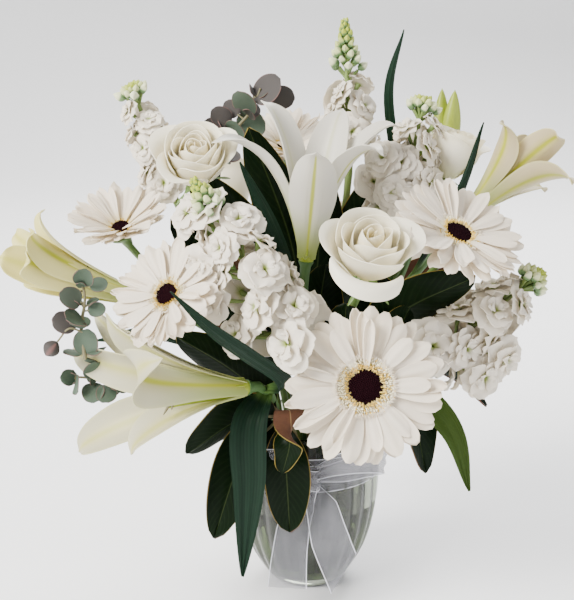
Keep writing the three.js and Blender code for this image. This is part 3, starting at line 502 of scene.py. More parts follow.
class Place:
    """A frame at `at` whose Z axis looks along `facing`, with Y as near upright as it can be."""

    def __init__(self, at, facing, turn=0.0):
        z = unit(np.asarray(facing, float))
        upright = vec(0, 1, 0) if abs(z[2]) > 0.95 else vec(0, 0, 1)
        x = unit(np.cross(upright, z))
        y = np.cross(z, x)
        c, s = math.cos(turn), math.sin(turn)
        self.axes = np.stack([c * x + s * y, c * y - s * x, z])
        self.at = np.asarray(at, float)

    def put(self, points):
        return self.at + points @ self.axes

    def turned(self, direction):
        return direction @ self.axes


class Curve:
    """A smooth line through points, with the same bends as the solids' own curves."""

    def __init__(self, points):
        p = [np.asarray(q, float) for q in points]
        self.points = [2 * p[0] - p[1], *p, 2 * p[-1] - p[-2]]

    def at(self, share):
        spans = len(self.points) - 3
        k = min(int(share * spans), spans - 1)
        t = share * spans - k
        p0, p1, p2, p3 = self.points[k : k + 4]
        d0, d1, d2 = (np.linalg.norm(b - a) ** 0.5 for a, b in ((p0, p1), (p1, p2), (p2, p3)))
        m1 = ((p1 - p0) / d0 - (p2 - p0) / (d0 + d1) + (p2 - p1) / d1) * d1
        m2 = ((p2 - p1) / d1 - (p3 - p1) / (d1 + d2) + (p3 - p2) / d2) * d1
        return p1 + m1 * t + (3 * (p2 - p1) - 2 * m1 - m2) * t**2 + (2 * (p1 - p2) + m1 + m2) * t**3

    def ahead(self, share):
        return unit(self.at(min(1, share + 0.01)) - self.at(max(0, share - 0.01)))

    def steps(self, count, end=1):
        return [self.at(s) for s in np.linspace(0, end, count)]


# %% Gathering the shapes of a piece
class Tissue:
    """The shapes of one piece. Each point keeps how far along and across its petal it lies, and a shade."""

    def __init__(self):
        self.points = []
        self.marks = []
        self.faces = []
        self.coats = []
        self.count = 0

    def add(self, points, faces, along=0.0, across=0.0, shade=0.5, coat=0):
        points = np.asarray(points, float).reshape(-1, 3)
        marks = np.empty((len(points), 3))
        for column, value in enumerate((along, across, shade)):
            marks[:, column] = value
        self.points.append(points)
        self.marks.append(marks)
        self.faces.append(np.asarray(faces, int) + self.count)
        self.coats.append(np.full(len(faces), coat))
        self.count += len(points)

    def sheet(self, shape, across, along, place=None, shade=0.5, coats=(0, 0), thick=0.45):
        """A thin sheet whose point at (u, v) is shape(u, v): u from -1 to 1 across, v from 0 to 1 along.

        It has `across` by `along` cells. Its two faces stand half the thickness to either side and may have
        a finish each."""
        v, u = np.meshgrid(np.linspace(0, 1, along + 1), np.linspace(-1, 1, across + 1), indexing="ij")
        points = shape(u, v)
        if place:
            points = place.put(points)
        normals = np.cross(np.gradient(points, axis=1), np.gradient(points, axis=0))
        size = np.linalg.norm(normals, axis=-1, keepdims=True)
        push = normals / np.maximum(size, 1e-9) * thick / 2
        row = across + 1
        total = row * (along + 1)
        corner = (np.arange(along)[:, None] * row + np.arange(across)).ravel()
        front = np.stack([corner, corner + 1, corner + row + 1, corner + row], axis=1)
        rim = np.concatenate([
            np.arange(across),
            np.arange(along) * row + across,
            total - 1 - np.arange(across),
            (along - np.arange(along)) * row,
        ])
        ahead = np.roll(rim, -1)
        edge = np.stack([ahead, rim, rim + total, ahead + total], axis=1)
        faces = np.concatenate([front, front[:, ::-1] + total, edge])
        both = np.concatenate([(points + push).reshape(-1, 3), (points - push).reshape(-1, 3)])
        self.add(both, faces, np.tile(v.ravel(), 2), np.tile(u.ravel(), 2), shade, coats[0])
        self.coats[-1][len(front) : 2 * len(front)] = coats[1]

    def rod(self, points, radii, sides=8, shade=0.5, coat=0):
        """A round rod through points, with a rounded end at either side."""
        line = np.asarray(points, float)
        radii = np.broadcast_to(radii, len(line))
        tangents = np.gradient(line, axis=0)
        tangents /= np.linalg.norm(tangents, axis=1, keepdims=True)
        side = vec(1, 0, 0) if abs(tangents[0][0]) < 0.9 else vec(0, 1, 0)
        turns = np.linspace(0, 2 * np.pi, sides, endpoint=False)
        rings = []
        for p, t, r in zip(line, tangents, radii):
            side = unit(side - t * (side @ t))
            rings.append(p + r * (np.cos(turns)[:, None] * side + np.sin(turns)[:, None] * np.cross(t, side)))
        ends = [line[0] - tangents[0] * radii[0] * 0.3, line[-1] + tangents[-1] * radii[-1] * 0.3]
        along = np.concatenate([[0], np.repeat(np.linspace(0, 1, len(line)), sides), [1]])
        across = np.concatenate([[0], np.tile(np.cos(turns), len(line)), [0]])
        self.closed(rings, ends, along, across, shade, coat)

    def form(self, outline, sides=8, place=None, shade=0.5, coat=0, swell=None):
        """A closed form turned about Z. The outline lists (radius, height), from pole to pole."""
        turns = np.linspace(0, 2 * np.pi, sides, endpoint=False)
        ripple = np.ones(sides) if swell is None else swell(turns)
        rings = [polar(turns, r * ripple, z) for r, z in outline[1:-1]]
        ends = [vec(0, 0, outline[0][1]), vec(0, 0, outline[-1][1])]
        heights = np.array([outline[0][1], *np.repeat([z for _, z in outline[1:-1]], sides), outline[-1][1]])
        along = (heights - heights.min()) / (heights.max() - heights.min())
        across = np.concatenate([[0], np.tile(np.cos(turns), len(rings)), [0]])
        if place:
            rings = [place.put(ring) for ring in rings]
            ends = [place.put(end) for end in ends]
        self.closed(rings, ends, along, across, shade, coat)

    def closed(self, rings, ends, along, across, shade, coat):
        """Joins rings of points, and closes both ends with a point each."""
        sides = len(rings[0])
        k = np.arange(sides)
        near = (k + 1) % sides
        low = 1 + (np.arange(len(rings) - 1) * sides)[:, None]
        last = 1 + (len(rings) - 1) * sides
        walls = np.stack([low + k, low + near, low + sides + near, low + sides + k], axis=-1).reshape(-1, 4)
        tip = np.full(sides, last + sides)
        caps = np.concatenate([
            np.stack([np.zeros(sides, int), 1 + near, 1 + k, 1 + k], axis=1),
            np.stack([last + k, last + near, tip, tip], axis=1),
        ])
        points = np.concatenate([[ends[0]], *rings, [ends[1]]])
        self.add(points, np.concatenate([walls, caps]), along, across, shade, coat)

    def copies(self, other, place, size):
        """Adds another tissue whole, at a size and a place."""
        points = place.put(np.concatenate(other.points) * size)
        self.add(points, np.concatenate(other.faces), *np.concatenate(other.marks).T)
        self.coats[-1][:] = np.concatenate(other.coats)


def bud_outline(long, wide, fullest=0.45, steps=8):
    """The outline of a bud: round below, and drawn out to a blunt tip. `fullest` is where it is widest."""
    power = math.log(0.5) / math.log(fullest)
    shares = [k / steps for k in range(1, steps)]
    inner = [(wide / 2 * math.sin(math.pi * s**power) ** 0.8, long * s) for s in shares]
    return [(0, 0), *inner, (0, long)]


# %% [markdown]
# A piece stays one object with its mesh in place, as the frame asks. The edge of a petal is marked sharp,
# because a smooth shade that runs round such a thin edge would make the petal look blown up.

# %% Making a piece
SHARP = math.radians(62)


def make_mesh(name, tissue):
    mesh = bpy.data.meshes.new(name)
    faces = np.concatenate(tissue.faces).tolist()
    faces = [face if face[2] != face[3] else face[:3] for face in faces]
    mesh.from_pydata((np.concatenate(tissue.points) * MM).tolist(), [], faces)
    marks = np.concatenate(tissue.marks)
    for column, title in enumerate(("along", "across", "shade")):
        kept = mesh.attributes.new(title, "FLOAT", "POINT")
        kept.data.foreach_set("value", marks[:, column].astype(np.float32))
    mesh.polygons.foreach_set("material_index", np.concatenate(tissue.coats).astype(np.int32))
    mesh.shade_smooth()
    mesh.set_sharp_from_angle(angle=SHARP)
    return mesh


def make_piece(name, tissue, node, slot, *coats):
    """One object in place of the solid `node`, with its finishes in the order of the tissue's coats."""
    mesh = make_mesh(name, tissue)
    piece = add_object(name, mesh)
    for coat in coats:
        mesh.materials.append(coat)
    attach(piece, "root")
    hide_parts(node)
    return piece


# %% [markdown]
# ## Stems
# A florist turns the bunch in the hand, so the stems cross below the tie and spread above it. Each stem
# is straight from its cut end to the neck of the vase, and then bends to meet its bloom from behind. The
# places in the neck start under the blooms and are pushed apart until no two stems touch.

# %% The measures of the vase
VASE = {"height": 124, "foot": 25, "wide": 52.5, "wide_at": 84, "rim": 47.5, "wall": 3, "floor": 9}
WATER_TOP = 64
FLUTES = {"count": 24, "depth": 1.7}


def vase_radius(z):
    """Half the width of the vase at a height: an ellipse below its widest place, a soft curve above."""
    if z > VASE["wide_at"]:
        share = (z - VASE["wide_at"]) / (VASE["height"] - VASE["wide_at"])
        return VASE["wide"] - (VASE["wide"] - VASE["rim"]) * share**2
    flat = math.sqrt(1 - (VASE["foot"] / VASE["wide"]) ** 2)
    return VASE["wide"] * math.sqrt(1 - ((VASE["wide_at"] - z) / VASE["wide_at"] * flat) ** 2)


print("vase radius at its neck:", round(vase_radius(118), 1), "mm")

# %% Stem lines
# Heights of the cut ends and of the tie, the least distance of two stems, the radius that they fill, and
# how far the bunch draws in and turns below the tie.
BUNCH = {
    "cut": 15,
    "neck": 118,
    "pitch": 12,
    "radius": 38,
    "foot": 0.66,
    "twist": math.radians(32),
    "widest_lean": math.radians(62),
}
stems = {}


def add_stem(name, head, facing, radius):
    lean = math.atan2(math.hypot(head[0], head[1]), head[2] - BUNCH["neck"])
    out = BUNCH["radius"] * min(1, lean / BUNCH["widest_lean"])
    turn = math.atan2(head[1], head[0])
    neck = [out * math.cos(turn), out * math.sin(turn)]
    stems[name] = {"head": vec(*head), "facing": unit(vec(*facing)), "radius": radius, "neck": neck}


# %% Where the stems stand
def push_apart(a, b):
    dx, dy = a[0] - b[0], a[1] - b[1]
    apart = math.hypot(dx, dy)
    short = BUNCH["pitch"] - apart
    if short <= 0:
        return
    push = short / 4 / (apart or 1.0)
    a[0] += dx * push
    a[1] += dy * push
    b[0] -= dx * push
    b[1] -= dy * push


def settle_stems():
    necks = [stem["neck"] for stem in stems.values()]
    for _ in range(200):
        for a in necks:
            for b in necks:
                if a is not b:
                    push_apart(a, b)
            long = math.hypot(*a)
            if long > BUNCH["radius"]:
                a[:] = [c * BUNCH["radius"] / long for c in a]


def stem_line(name, bends=3):
    """The line of a stem from its cut end, through the neck, to the underside of its head."""
    stem = stems[name]
    c, s = math.cos(BUNCH["twist"]), math.sin(BUNCH["twist"])
    x, y = stem["neck"]
    cut = vec((c * x - s * y) * BUNCH["foot"], (s * x + c * y) * BUNCH["foot"], BUNCH["cut"])
    neck = vec(x, y, BUNCH["neck"])
    head = stem["head"]
    span = np.linalg.norm(head - neck)
    second = neck + unit(neck - cut) * span * 0.38
    third = head - stem["facing"] * span * 0.32
    shares = np.linspace(0, 1, bends + 1)[:, None]
    rest = 1 - shares
    curve = rest**3 * neck + 3 * rest**2 * shares * second + 3 * rest * shares**2 * third + shares**3 * head
    return np.concatenate([[cut], curve])


def point_on_stem(name, share):
    line = stem_line(name, 20)[1:]
    return line[int(share * 20 + 0.5)]


# %% Growing a stem
def grow_stem(tissue, name, flare, sides):
    """A stem whose thickness wavers a little. `flare` lists (distance below the head, radius)."""
    line = stem_line(name, 14)
    straight = [lerp(line[0], line[1], k / 6) for k in range(6)]
    clear = flare[0][0] + 2
    bent = [p for p in line[1:] if np.linalg.norm(p - line[-1]) >= clear]
    line = np.array([*straight, *bent])
    waver = 0.06 * np.sin(np.arange(len(line)) * 2.1 + len(name))
    radii = stems[name]["radius"] * (1.06 - 0.12 * np.linspace(0, 1, len(line)) + waver)
    head, facing = stems[name]["head"], stems[name]["facing"]
    tops = [head - facing * below for below, _ in flare]
    tissue.rod([*line, *tops], [*radii, *(r for _, r in flare)], sides)


# %% [markdown]
# ## Gerberas
# A gerbera is a daisy: a dark disc of tiny florets with a golden ring of pollen, a fringe of short
# threads, and long white rays in three rings. The rays are narrow at the root, widest past their middle
# and blunt at the tip, with two soft grooves. Each one is given its own length, lean and droop. The head
# of the upper left gerbera is turned further to the front than the end of its stem.

# %% Gerbera shapes
gerberas = {
    "front": {"at": (35, -118, 188), "facing": (0, -0.95, 0.31), "radius": 53, "cup": 5, "eye": 1.0},
    "right": {"at": (96, -70, 274), "facing": (0.32, -0.46, 0.83), "radius": 47, "cup": 14, "eye": 0.84},
    "left": {"at": (-90, -92, 240), "facing": (-0.45, -0.65, 0.61), "radius": 40, "cup": 15, "eye": 0.7},
    "upper_left": {"at": (-130, -16, 266), "facing": (-0.42, -0.28, 0.86), "turned": (-0.12, -0.42, 0.90),
                   "radius": 35, "cup": 31, "eye": 0.62},
    "top": {"at": (-16, 54, 312), "facing": (-0.05, -0.34, 0.94), "radius": 37, "cup": 26, "eye": 0.62},
    "rear": {"at": (62, 104, 236), "facing": (0.35, 0.82, 0.45), "radius": 47, "cup": 8, "eye": 0.9},
}
EYE = {"disc": 10.2, "gold": 12.6, "pale": 18.4, "fringe": 21.5, "florets": 800, "threads": 230}
RAY_RINGS = [  # reach and width are shares of the radius, lift is in millimetres, lean in degrees
    {"count": 22, "reach": 1.0, "lift": 0.5, "wide": 0.232, "lean": 0},
    {"count": 18, "reach": 0.955, "lift": 1.9, "wide": 0.215, "lean": 2.5},
    {"count": 9, "reach": 0.83, "lift": 3.3, "wide": 0.18, "lean": 6},
]

# %% Gerbera rays
def ray_shape(long, wide, lift, slope, droop, curl, twist, angle):
    """The middle surface of one ray floret."""
    root = 6.0

    def shape(u, v):
        past = np.clip((v - 0.76) / 0.24, 0, 1)
        width = wide / 2 * lerp(0.32, 1, rise(v, 0, 0.66)) * np.maximum(0.07, 1 - past**2.3) ** 0.55
        run = root + (long - root) * v
        height = lift + slope * run - droop * v**2 - curl * u * u * rise(v, 0.1, 0.6)
        grooves = 0.30 * np.cos(u * np.pi * 2) * rise(v, 0.1, 0.4) * (1 - rise(v, 0.8, 1))
        return polar(angle, run, height + grooves + twist * u * v, u * width)

    return shape


def gerbera_rays(spec, seed):
    draw = np.random.default_rng(seed)
    rays = Tissue()
    place = Place(spec["at"], spec.get("turned", spec["facing"]))
    radius = spec["radius"]
    for ring in RAY_RINGS:
        for k in range(ring["count"]):
            angle = 2 * math.pi * (k + 0.45 * draw.random()) / ring["count"] + ring["lift"]
            slope = math.tan(math.radians(spec["cup"] + ring["lean"] + draw.normal() * 2.6))
            rolled = draw.random() > 0.86
            widths = (0.62, 0.75) if rolled else (0.88, 1.14)
            shape = ray_shape(
                long=radius * ring["reach"] * draw.uniform(0.93, 1.0),
                wide=radius * ring["wide"] * draw.uniform(*widths),
                lift=ring["lift"],
                slope=slope,
                droop=draw.uniform(0.5, 4.5),
                curl=-3.0 if rolled else draw.uniform(-0.5, 1.4),
                twist=draw.normal() * 1.1,
                angle=angle,
            )
            rays.sheet(shape, 8, 14, place, draw.random())
    add_fringe(rays, eye_place(spec), spec["eye"], draw)
    return rays


def eye_place(spec):
    """Small eyes sit higher, so that all of them stand out of their rays by the same amount."""
    facing = unit(spec.get("turned", spec["facing"]))
    return Place(vec(*spec["at"]) + facing * 6.6 * (1 - spec["eye"]), facing)


def add_fringe(rays, place, scale, draw):
    """Short white threads that stand round the pale ring and bend outward."""
    fringe = Tissue()
    for k in range(EYE["threads"]):
        angle = k * GOLDEN
        foot = lerp(EYE["pale"] - 1.5, EYE["fringe"] - 3.5, draw.random())
        long = draw.uniform(1.8, 4.2)
        wide = draw.uniform(0.35, 0.8)
        high = draw.uniform(2.0, 3.6)

        def thread(u, v):
            side = u * wide * (1 - 0.5 * v) / 2
            return polar(angle, foot + long * v**1.5, 5.2 + high * np.sin(v * 2.1), side)

        fringe.sheet(thread, 1, 4, None, draw.random(), thick=0.3)
    rays.copies(fringe, place, scale)


# %% Gerbera eyes and stems
def gerbera_eye(spec, seed):
    """Dark florets packed in a spiral, then golden ones, then pale ones with golden tips."""
    draw = np.random.default_rng(seed)
    eye = Tissue()
    eye.form([(0, 4.4), (9.4, 4.4), (9.8, 6.2), (7, 7.0), (4, 7.4), (0, 7.2)], 24, shade=0.0)
    count = EYE["florets"]
    for k in range(count):
        r = EYE["pale"] * math.sqrt((k + 0.5) / count)
        edge = r * draw.uniform(0.94, 1.06)
        dark = edge < EYE["disc"]
        golden = edge < EYE["gold"] or draw.random() > 0.8
        high = draw.uniform(1.2, 2.0) if dark else draw.uniform(2.6, 3.9)
        seat = vec(r * math.cos(k * GOLDEN), r * math.sin(k * GOLDEN), 7.2 - 1.6 * (r / EYE["pale"]) ** 2)
        lean = vec(seat[0] * 0.9, seat[1] * 0.9, 24) + draw.normal(size=3) * (1.5 if dark else 4.0)
        tip = Place(seat - vec(0, 0, 0.6), lean)
        wide = 0.66 if dark else draw.uniform(0.34, 0.5)
        outline = [(0, 0), (wide, 0.2), (wide * 1.1, high * 0.7), (0, high)]
        eye.form(outline, 5, tip, 0.0 if dark else 0.55 if golden else 0.9)
    placed = Tissue()
    placed.copies(eye, eye_place(spec), spec["eye"])
    return placed


def gerbera_stem(name):
    stem = Tissue()
    grow_stem(stem, name, [(11, 2.7), (5, 4.2), (1.6, 8.6), (0.2, 9.4)], sides=14)
    return stem


# %% [markdown]
# ## Roses
# A rose's petals stand in a spiral round its heart. The inner ones are tall, narrow and wrapped right
# round each other, and each one further out is wider, leans back more and rolls its lip outward. One
# formula makes them all from how far out a petal stands. The lowest petal of the front rose has rolled
# right over and has a formula of its own.

# %% Rose shapes
roses = {
    "front": {"at": (36, -95, 256), "facing": (0.12, -0.68, 0.72), "turned": (0.10, -0.50, 0.86),
              "radius": 31, "high": 40, "petals": 15, "rolled": (-0.2, -1, -0.3)},
    "left": {"at": (-76, -34, 308), "facing": (-0.02, -0.62, 0.78), "radius": 28, "high": 37, "petals": 20},
    "right": {"at": (98, 15, 300), "facing": (0.3, 0, 0.95), "radius": 24, "high": 36, "petals": 15},
    "rear": {"at": (-58, 100, 258), "facing": (-0.35, 0.75, 0.56), "radius": 30, "high": 36, "petals": 17},
}
# The line of the rolled petal from its root outward, as shares of the rose's radius and height.
ROLLED_LINE = [(0.70, 0.14), (0.93, 0.40), (1.04, 0.62), (1.18, 0.60), (1.27, 0.40)]

# %% Rose petals
def rose_petal(out, spec, angle, frill, draw):
    """`out` is nought for the innermost petal and one for the outermost."""
    root = lerp(1.2, 6.5, out)
    radius = spec["radius"] * lerp(0.08, 0.84, out**0.8)
    high = spec["high"] * (lerp(0.96, 1.0, out) - 0.15 * rise(out, 0.8, 1.0))
    reach = lerp(2.1, 1.12, out**0.5)
    lip = spec["radius"] * (0.10 * rise(out, 0.2, 0.7) + 0.26 * rise(out, 0.72, 1.0)) * draw.uniform(0.7, 1.2)
    ruffle = (0.4 + 1.3 * out) * frill
    phase = draw.uniform(0, 6.3)
    lean = 0.055 * spec["radius"] * lerp(0.5, 1.0, out)
    drop = lerp(0.16, 0.40, out)

    def shape(u, v):
        tall = v * (1 - drop * np.abs(u) ** 2.4 + 0.025 * np.cos(u * 3.1 + phase))
        swell = np.sin(np.minimum(1, tall * 1.35) * np.pi / 2)
        past = np.clip((tall - 0.66) / 0.34, 0, 1)
        wide = lerp(0.34, 1, np.sin(np.minimum(1, v * 1.4) * np.pi / 2))
        r = lerp(root, radius, swell) + lip * past**1.8 + u * lean * swell
        r = r - radius * 0.42 * (1 - out) ** 1.5 * tall**3 + ruffle * np.sin(u * 3.4 + phase) * tall**3
        z = 1.0 + (high - 1) * tall - lip * 0.5 * past**2.4
        return polar(angle + u * reach * wide, np.maximum(r, 0.4), z)

    return shape


def rolled_petal(spec, place):
    """The lowest petal, which has rolled right over, so that its edge hangs like the side of a boat."""
    turns = np.linspace(0, 2 * math.pi, 73)
    ahead = [place.turned(polar(turn, 1, 0)) @ vec(*spec["rolled"]) for turn in turns]
    angle = turns[int(np.argmax(ahead))]
    radius, high = spec["radius"], spec["high"]
    line = Curve([(6, 0, 1), *((r * radius, 0, z * high) for r, z in ROLLED_LINE)])

    def shape(u, v):
        rows = np.array([line.at(s) for s in v[:, 0]])
        wide = 0.88 * (0.35 + 0.65 * np.sin(np.minimum(1, v * 1.5) * np.pi / 2)) * (1 - 0.2 * v**4)
        r = rows[:, :1] - radius * 0.16 * u * u * v
        z = rows[:, 2:] + high * (0.06 * u * u - 0.10 * u) * v
        return polar(angle + u * wide, r, z)

    return shape


# %% Rose blooms and stems
def rose_bloom(spec, seed, frill):
    draw = np.random.default_rng(seed)
    bloom = Tissue()
    place = Place(spec["at"], spec.get("turned", spec["facing"]))
    count = spec["petals"]
    for k in range(count):
        out = k / (count - 1)
        angle = k * GOLDEN * 1.02 + draw.normal() * 0.08
        bloom.sheet(rose_petal(out, spec, angle, frill, draw), 16, 14, place, out)
    bloom.form([(0, 0.2), (4, 0.3), (7, 2), (6, 6), (0, 8)], 16, place, 1.0)
    if "rolled" in spec:
        bloom.sheet(rolled_petal(spec, place), 18, 16, place, 1.0, thick=0.6)
    return bloom


def rose_stem(name):
    """The stem, its hip, five folded sepals and a few thorns."""
    stem = Tissue()
    grow_stem(stem, name, [(14, 2.6), (9, 3.0), (5, 5.4), (1.5, 6.4), (0.3, 5.2)], sides=12)
    place = Place(stems[name]["head"], stems[name]["facing"])
    for k in range(5):
        angle = 2 * math.pi * k / 5 + 0.3

        def sepal(u, v):
            wide = 3.4 * (1 - v) ** 0.8 * (0.6 + 0.4 * np.sin(v * 9)) + 0.2
            return polar(angle, 4 + 19 * v, -1.2 - 5.5 * v**1.5 + 0.25 * u * u * wide, u * wide)

        stem.sheet(sepal, 4, 10, place)
    line = stem_line(name, 14)
    for k, i in enumerate((2, 5, 8)):
        side = unit(np.cross(line[i + 1] - line[i], vec(math.cos(k * 2.4), math.sin(k * 2.4), 0.2)))
        root = line[i] + side * 2.0
        stem.rod([root, root + side * 2.2, root + side * 3.6 - vec(0, 0, 0.8)], [1.5, 0.8, 0.15], 6)
    return stem


# %% A sheet on a curved line
def along_path(path, across, half, rise_of):
    """A sheet on a curved line: `half` is its half width along it, and `rise_of` lifts it off the line."""
    curve = Curve(path)
    across = np.asarray(across, float)

    def shape(u, v):
        rows = v[:, 0]
        centre = np.array([curve.at(s) for s in rows])
        ahead = np.array([curve.ahead(s) for s in rows])
        side = across - ahead * (ahead @ across)[:, None]
        side /= np.linalg.norm(side, axis=1, keepdims=True)
        face = np.cross(ahead, side)
        aside = u * half(v)
        lifted = rise_of(u, v)
        return centre[:, None] + side[:, None] * aside[..., None] + face[:, None] * lifted[..., None]

    return shape


print("tepals and long leaves are sheets on curved lines")

# %% [markdown]
# ## Lilies
# A lily is a trumpet of six tepals in two rings of three. They stand as a tube at first and then lean out,
# and the tips roll back. Each tepal is made for the place where its tip is seen, so a bloom is a list of
# tips. Tepals carry a green rib on their backs, and their edges are a little wavy.

# %% Lily shapes
# Each tepal has its tip, its width, how high it climbs before it bends, and whether it is an outer one. The
# length of a bloom sets its stamens and style, and its stage says which of the lily finishes it gets.
lilies = {
    "centre": {"at": (-2, -42, 253), "facing": (0.1, 0.02, 1), "long": 117, "tube": 11,
               "stage": "open", "tepals": [
        ((4, -84, 336), 32, 0.55, True), ((48, -74, 333), 25, 1.08, False),
        ((61, -24, 345), 24, 0.92, True), ((23, -6, 354), 29, 0.72, False),
        ((-31, -14, 361), 27, 0.78, True), ((-64, -62, 340), 24, 1.04, False),
    ]},
    "left": {"at": (-106, -40, 222), "facing": (-0.9, -0.16, 0.34), "long": 114, "tube": 8,
             "stage": "closed", "tepals": [
        ((-184, -70, 280), 28, 1.0, True), ((-183, -34, 288), 26, 1.02, False),
        ((-207, -14, 268), 23, 0.9, True), ((-198, -20, 236), 25, 1.0, False),
        ((-209, -52, 258), 26, 0.94, True), ((-186, -80, 262), 25, 1.04, False),
    ]},
    "lower_left": {"at": (-42, -78, 174), "facing": (-0.87, -0.46, 0.08), "long": 131, "tube": 11,
                   "stage": "opening", "tepals": [
        ((-135, -96, 229), 31, 0.66, True), ((-149, -56, 223), 26, 0.8, False),
        ((-163, -62, 196), 27, 0.8, True), ((-160, -76, 127), 30, 0.86, False),
        ((-119, -112, 140), 32, 0.8, True), ((-91, -178, 226), 34, 1.3, True),
    ]},
    "right": {"at": (112, 4, 274), "facing": (0.66, 0, 0.75), "long": 94, "tube": 9,
              "stage": "tinged", "tepals": [
        ((131, -24, 346), 22, 0.98, True), ((168, -40, 339), 23, 0.92, True),
        ((157, 14, 330), 24, 0.9, False), ((178, -46, 308), 24, 1.02, True),
        ((184, 4, 303), 21, 0.95, False), ((172, 22, 290), 24, 1.0, False),
    ]},
}

# %% Tepals
def tepal_shape(spec, tip, wide, climb, draw):
    """A tepal that climbs with the tube, bends outward, and rolls its very tip back."""
    base, axis = vec(*spec["at"]), unit(spec["facing"])
    reach = vec(*tip) - base
    high = reach @ axis
    out = unit(reach - axis * high)
    long = np.linalg.norm(reach)
    root = base + axis * 1.5 + out * 4.2
    bend = base + axis * high * climb + out * max(spec["tube"], 0.36 * (reach @ out))
    shares = np.array((0, 0.2, 0.4, 0.6, 0.8, 0.92, 1.0))[:, None]
    rest = 1 - shares
    line = rest**2 * root + 2 * shares * rest * bend + shares**2 * vec(*tip)
    phase = draw.uniform(0, 6.3)
    cup = draw.uniform(0.30, 0.46)

    def half(v):
        past = np.clip((v - 0.46) / 0.54, 0, 1)
        return wide / 2 * lerp(0.38, 1, rise(v, 0.0, 0.46)) * np.maximum(0.01, 1 - past**1.65) ** 1.08

    def lifted(u, v):
        edge = cup * half(v) * u * u * (1 - 0.5 * rise(v, 0.6, 1.0))
        groove = 1.3 * np.exp(-((u / 0.16) ** 2)) * rise(v, 0.05, 0.3) * (1 - v)
        wave = 0.9 * np.sin(v * 10 + phase + u) * u * u * rise(v, 0.3, 0.7) * (1 - rise(v, 0.9, 1))
        return edge + groove + wave - 0.026 * long * rise(v, 0.7, 1.0) ** 2

    return along_path(line, np.cross(axis, out), half, lifted)


# %% Lily blooms
def lily_bloom(spec, seed):
    """The tepals on the swelling at the head of the stem, with the threads inside."""
    draw = np.random.default_rng(seed)
    bloom = Tissue()
    for tip, wide, climb, outer in spec["tepals"]:
        shape = tepal_shape(spec, tip, wide, climb, draw)
        bloom.sheet(shape, 12, 28, shade=0.8 if outer else 0.2, coats=(1, 0), thick=0.7)
    base = Place(spec["at"], spec["facing"])
    bloom.form([(0, -1), (4.6, -0.5), (5.5, 2), (5.0, 6), (3, 10), (0, 12)], 18, base, 0.5, 2)
    add_threads(bloom, base, spec)
    return bloom


def add_threads(bloom, place, spec):
    """Six filaments with their anthers, and the style with its three-lobed tip."""
    long, tube = spec["long"], spec["tube"]
    for k in range(6):
        angle = math.pi * (k + 0.5) / 3
        shares = np.linspace(0, 1, 8)[:, None]
        out = 2.4 + (0.35 + 0.3 * shares**2) * tube
        line = np.concatenate([polar(angle, o, 5 + s * 0.40 * long) for o, s in zip(out, shares)])
        bloom.rod(place.put(line), 0.7, 6, 0.5, coat=2)
        head = Place(place.put(line[-1]), place.turned(polar(angle, 0.9, 0.5)))
        bloom.form([(r * 0.62, z - 6) for r, z in bud_outline(12, 3.2)], 6, head, 0.5, coat=3)
    style = np.array([(0, 0, 4), (0.4, 1, long * 0.25), (1, 2, long * 0.46)])
    bloom.rod(place.put(style), [1.2, 1.1, 1.3], 8, 0.5, coat=2)
    tip = Place(place.put(style[-1]), place.turned(vec(0, 0, 1)))

    def lobes(a):
        return 1 + 0.25 * np.cos(3 * a)

    bloom.form([(0, 0), (2, 0.6), (3, 2.4), (0, 3.4)], 12, tip, 0.5, 2, lobes)


# %% [markdown]
# ## Long leaves, and lily buds
# A lily's leaves clasp its stem and have no stalk. Each is a long sheet on a curved line, folded a little
# at its middle. The two buds behind the right-hand lily are still green and have three blunt lobes.

# %% Long leaves and buds
# Each leaf has the share of its stem's length that it grows from, its line, its width, the direction across
# it, and how fresh its green is.
lily_leaves = {
    "centre": [(0.7, [(-24, -54, 276), (-46, -60, 324)], 11, (1, 0.3, 0.2), 0.3)],
    "left": [(0.45, [(-110, 4, 190), (-158, 18, 178)], 18, (0, 1, 0.3), 0.3)],
    "lower_left": [
        (0.7, [(-40, -82, 150), (-41, -86, 104), (-46, -80, 36)], 25, (1, 0, 0.02), 0.3),
        (0.75, [(-16, -94, 182), (-40, -115, 207), (-63, -129, 229), (-87, -137, 256)], 12.5,
         (0.5, -0.4, 0.7), 0.3),
    ],
    "right": [
        (0.3, [(78, -44, 158), (100, -60, 136), (112, -66, 94)], 19, (0.8, -0.2, 0.5), 0.74),
        (0.65, [(105, -24, 299), (120, -14, 344)], 6.5, (1, 0.4, -0.3), 0.3),
        (0.5, [(112, 32, 214), (146, 44, 192)], 20, (-0.2, 1, 0), 0.3),
        (0.5, [(64, 34, 296), (57, 24, 364), (67, 24, 404)], 8, (1, -0.5, 0), 0.3),
    ],
}

# %% Lily leaves
def lily_leaf(line, wide, across, draw):
    """A blade that is widest near its root, with a fold along its middle."""
    half = wide / 2
    phase = draw.uniform(0, 6.3)

    def width(v):
        return half * np.maximum(0.03, np.sin(np.pi * np.minimum(0.99, 0.10 + 0.89 * v)) ** 0.8)

    def lifted(u, v):
        fold = 0.3 * np.abs(u) ** 1.5 * width(v)
        return fold + 0.05 * half * np.sin(v * 12 + phase) * u * np.abs(u) + 0.04 * half * np.cos(u * 9)

    return along_path(line, across, width, lifted)


LOW_LEAVES = {"count": 14, "highest": 116, "tip_gap": 9, "middle_gap": 8}


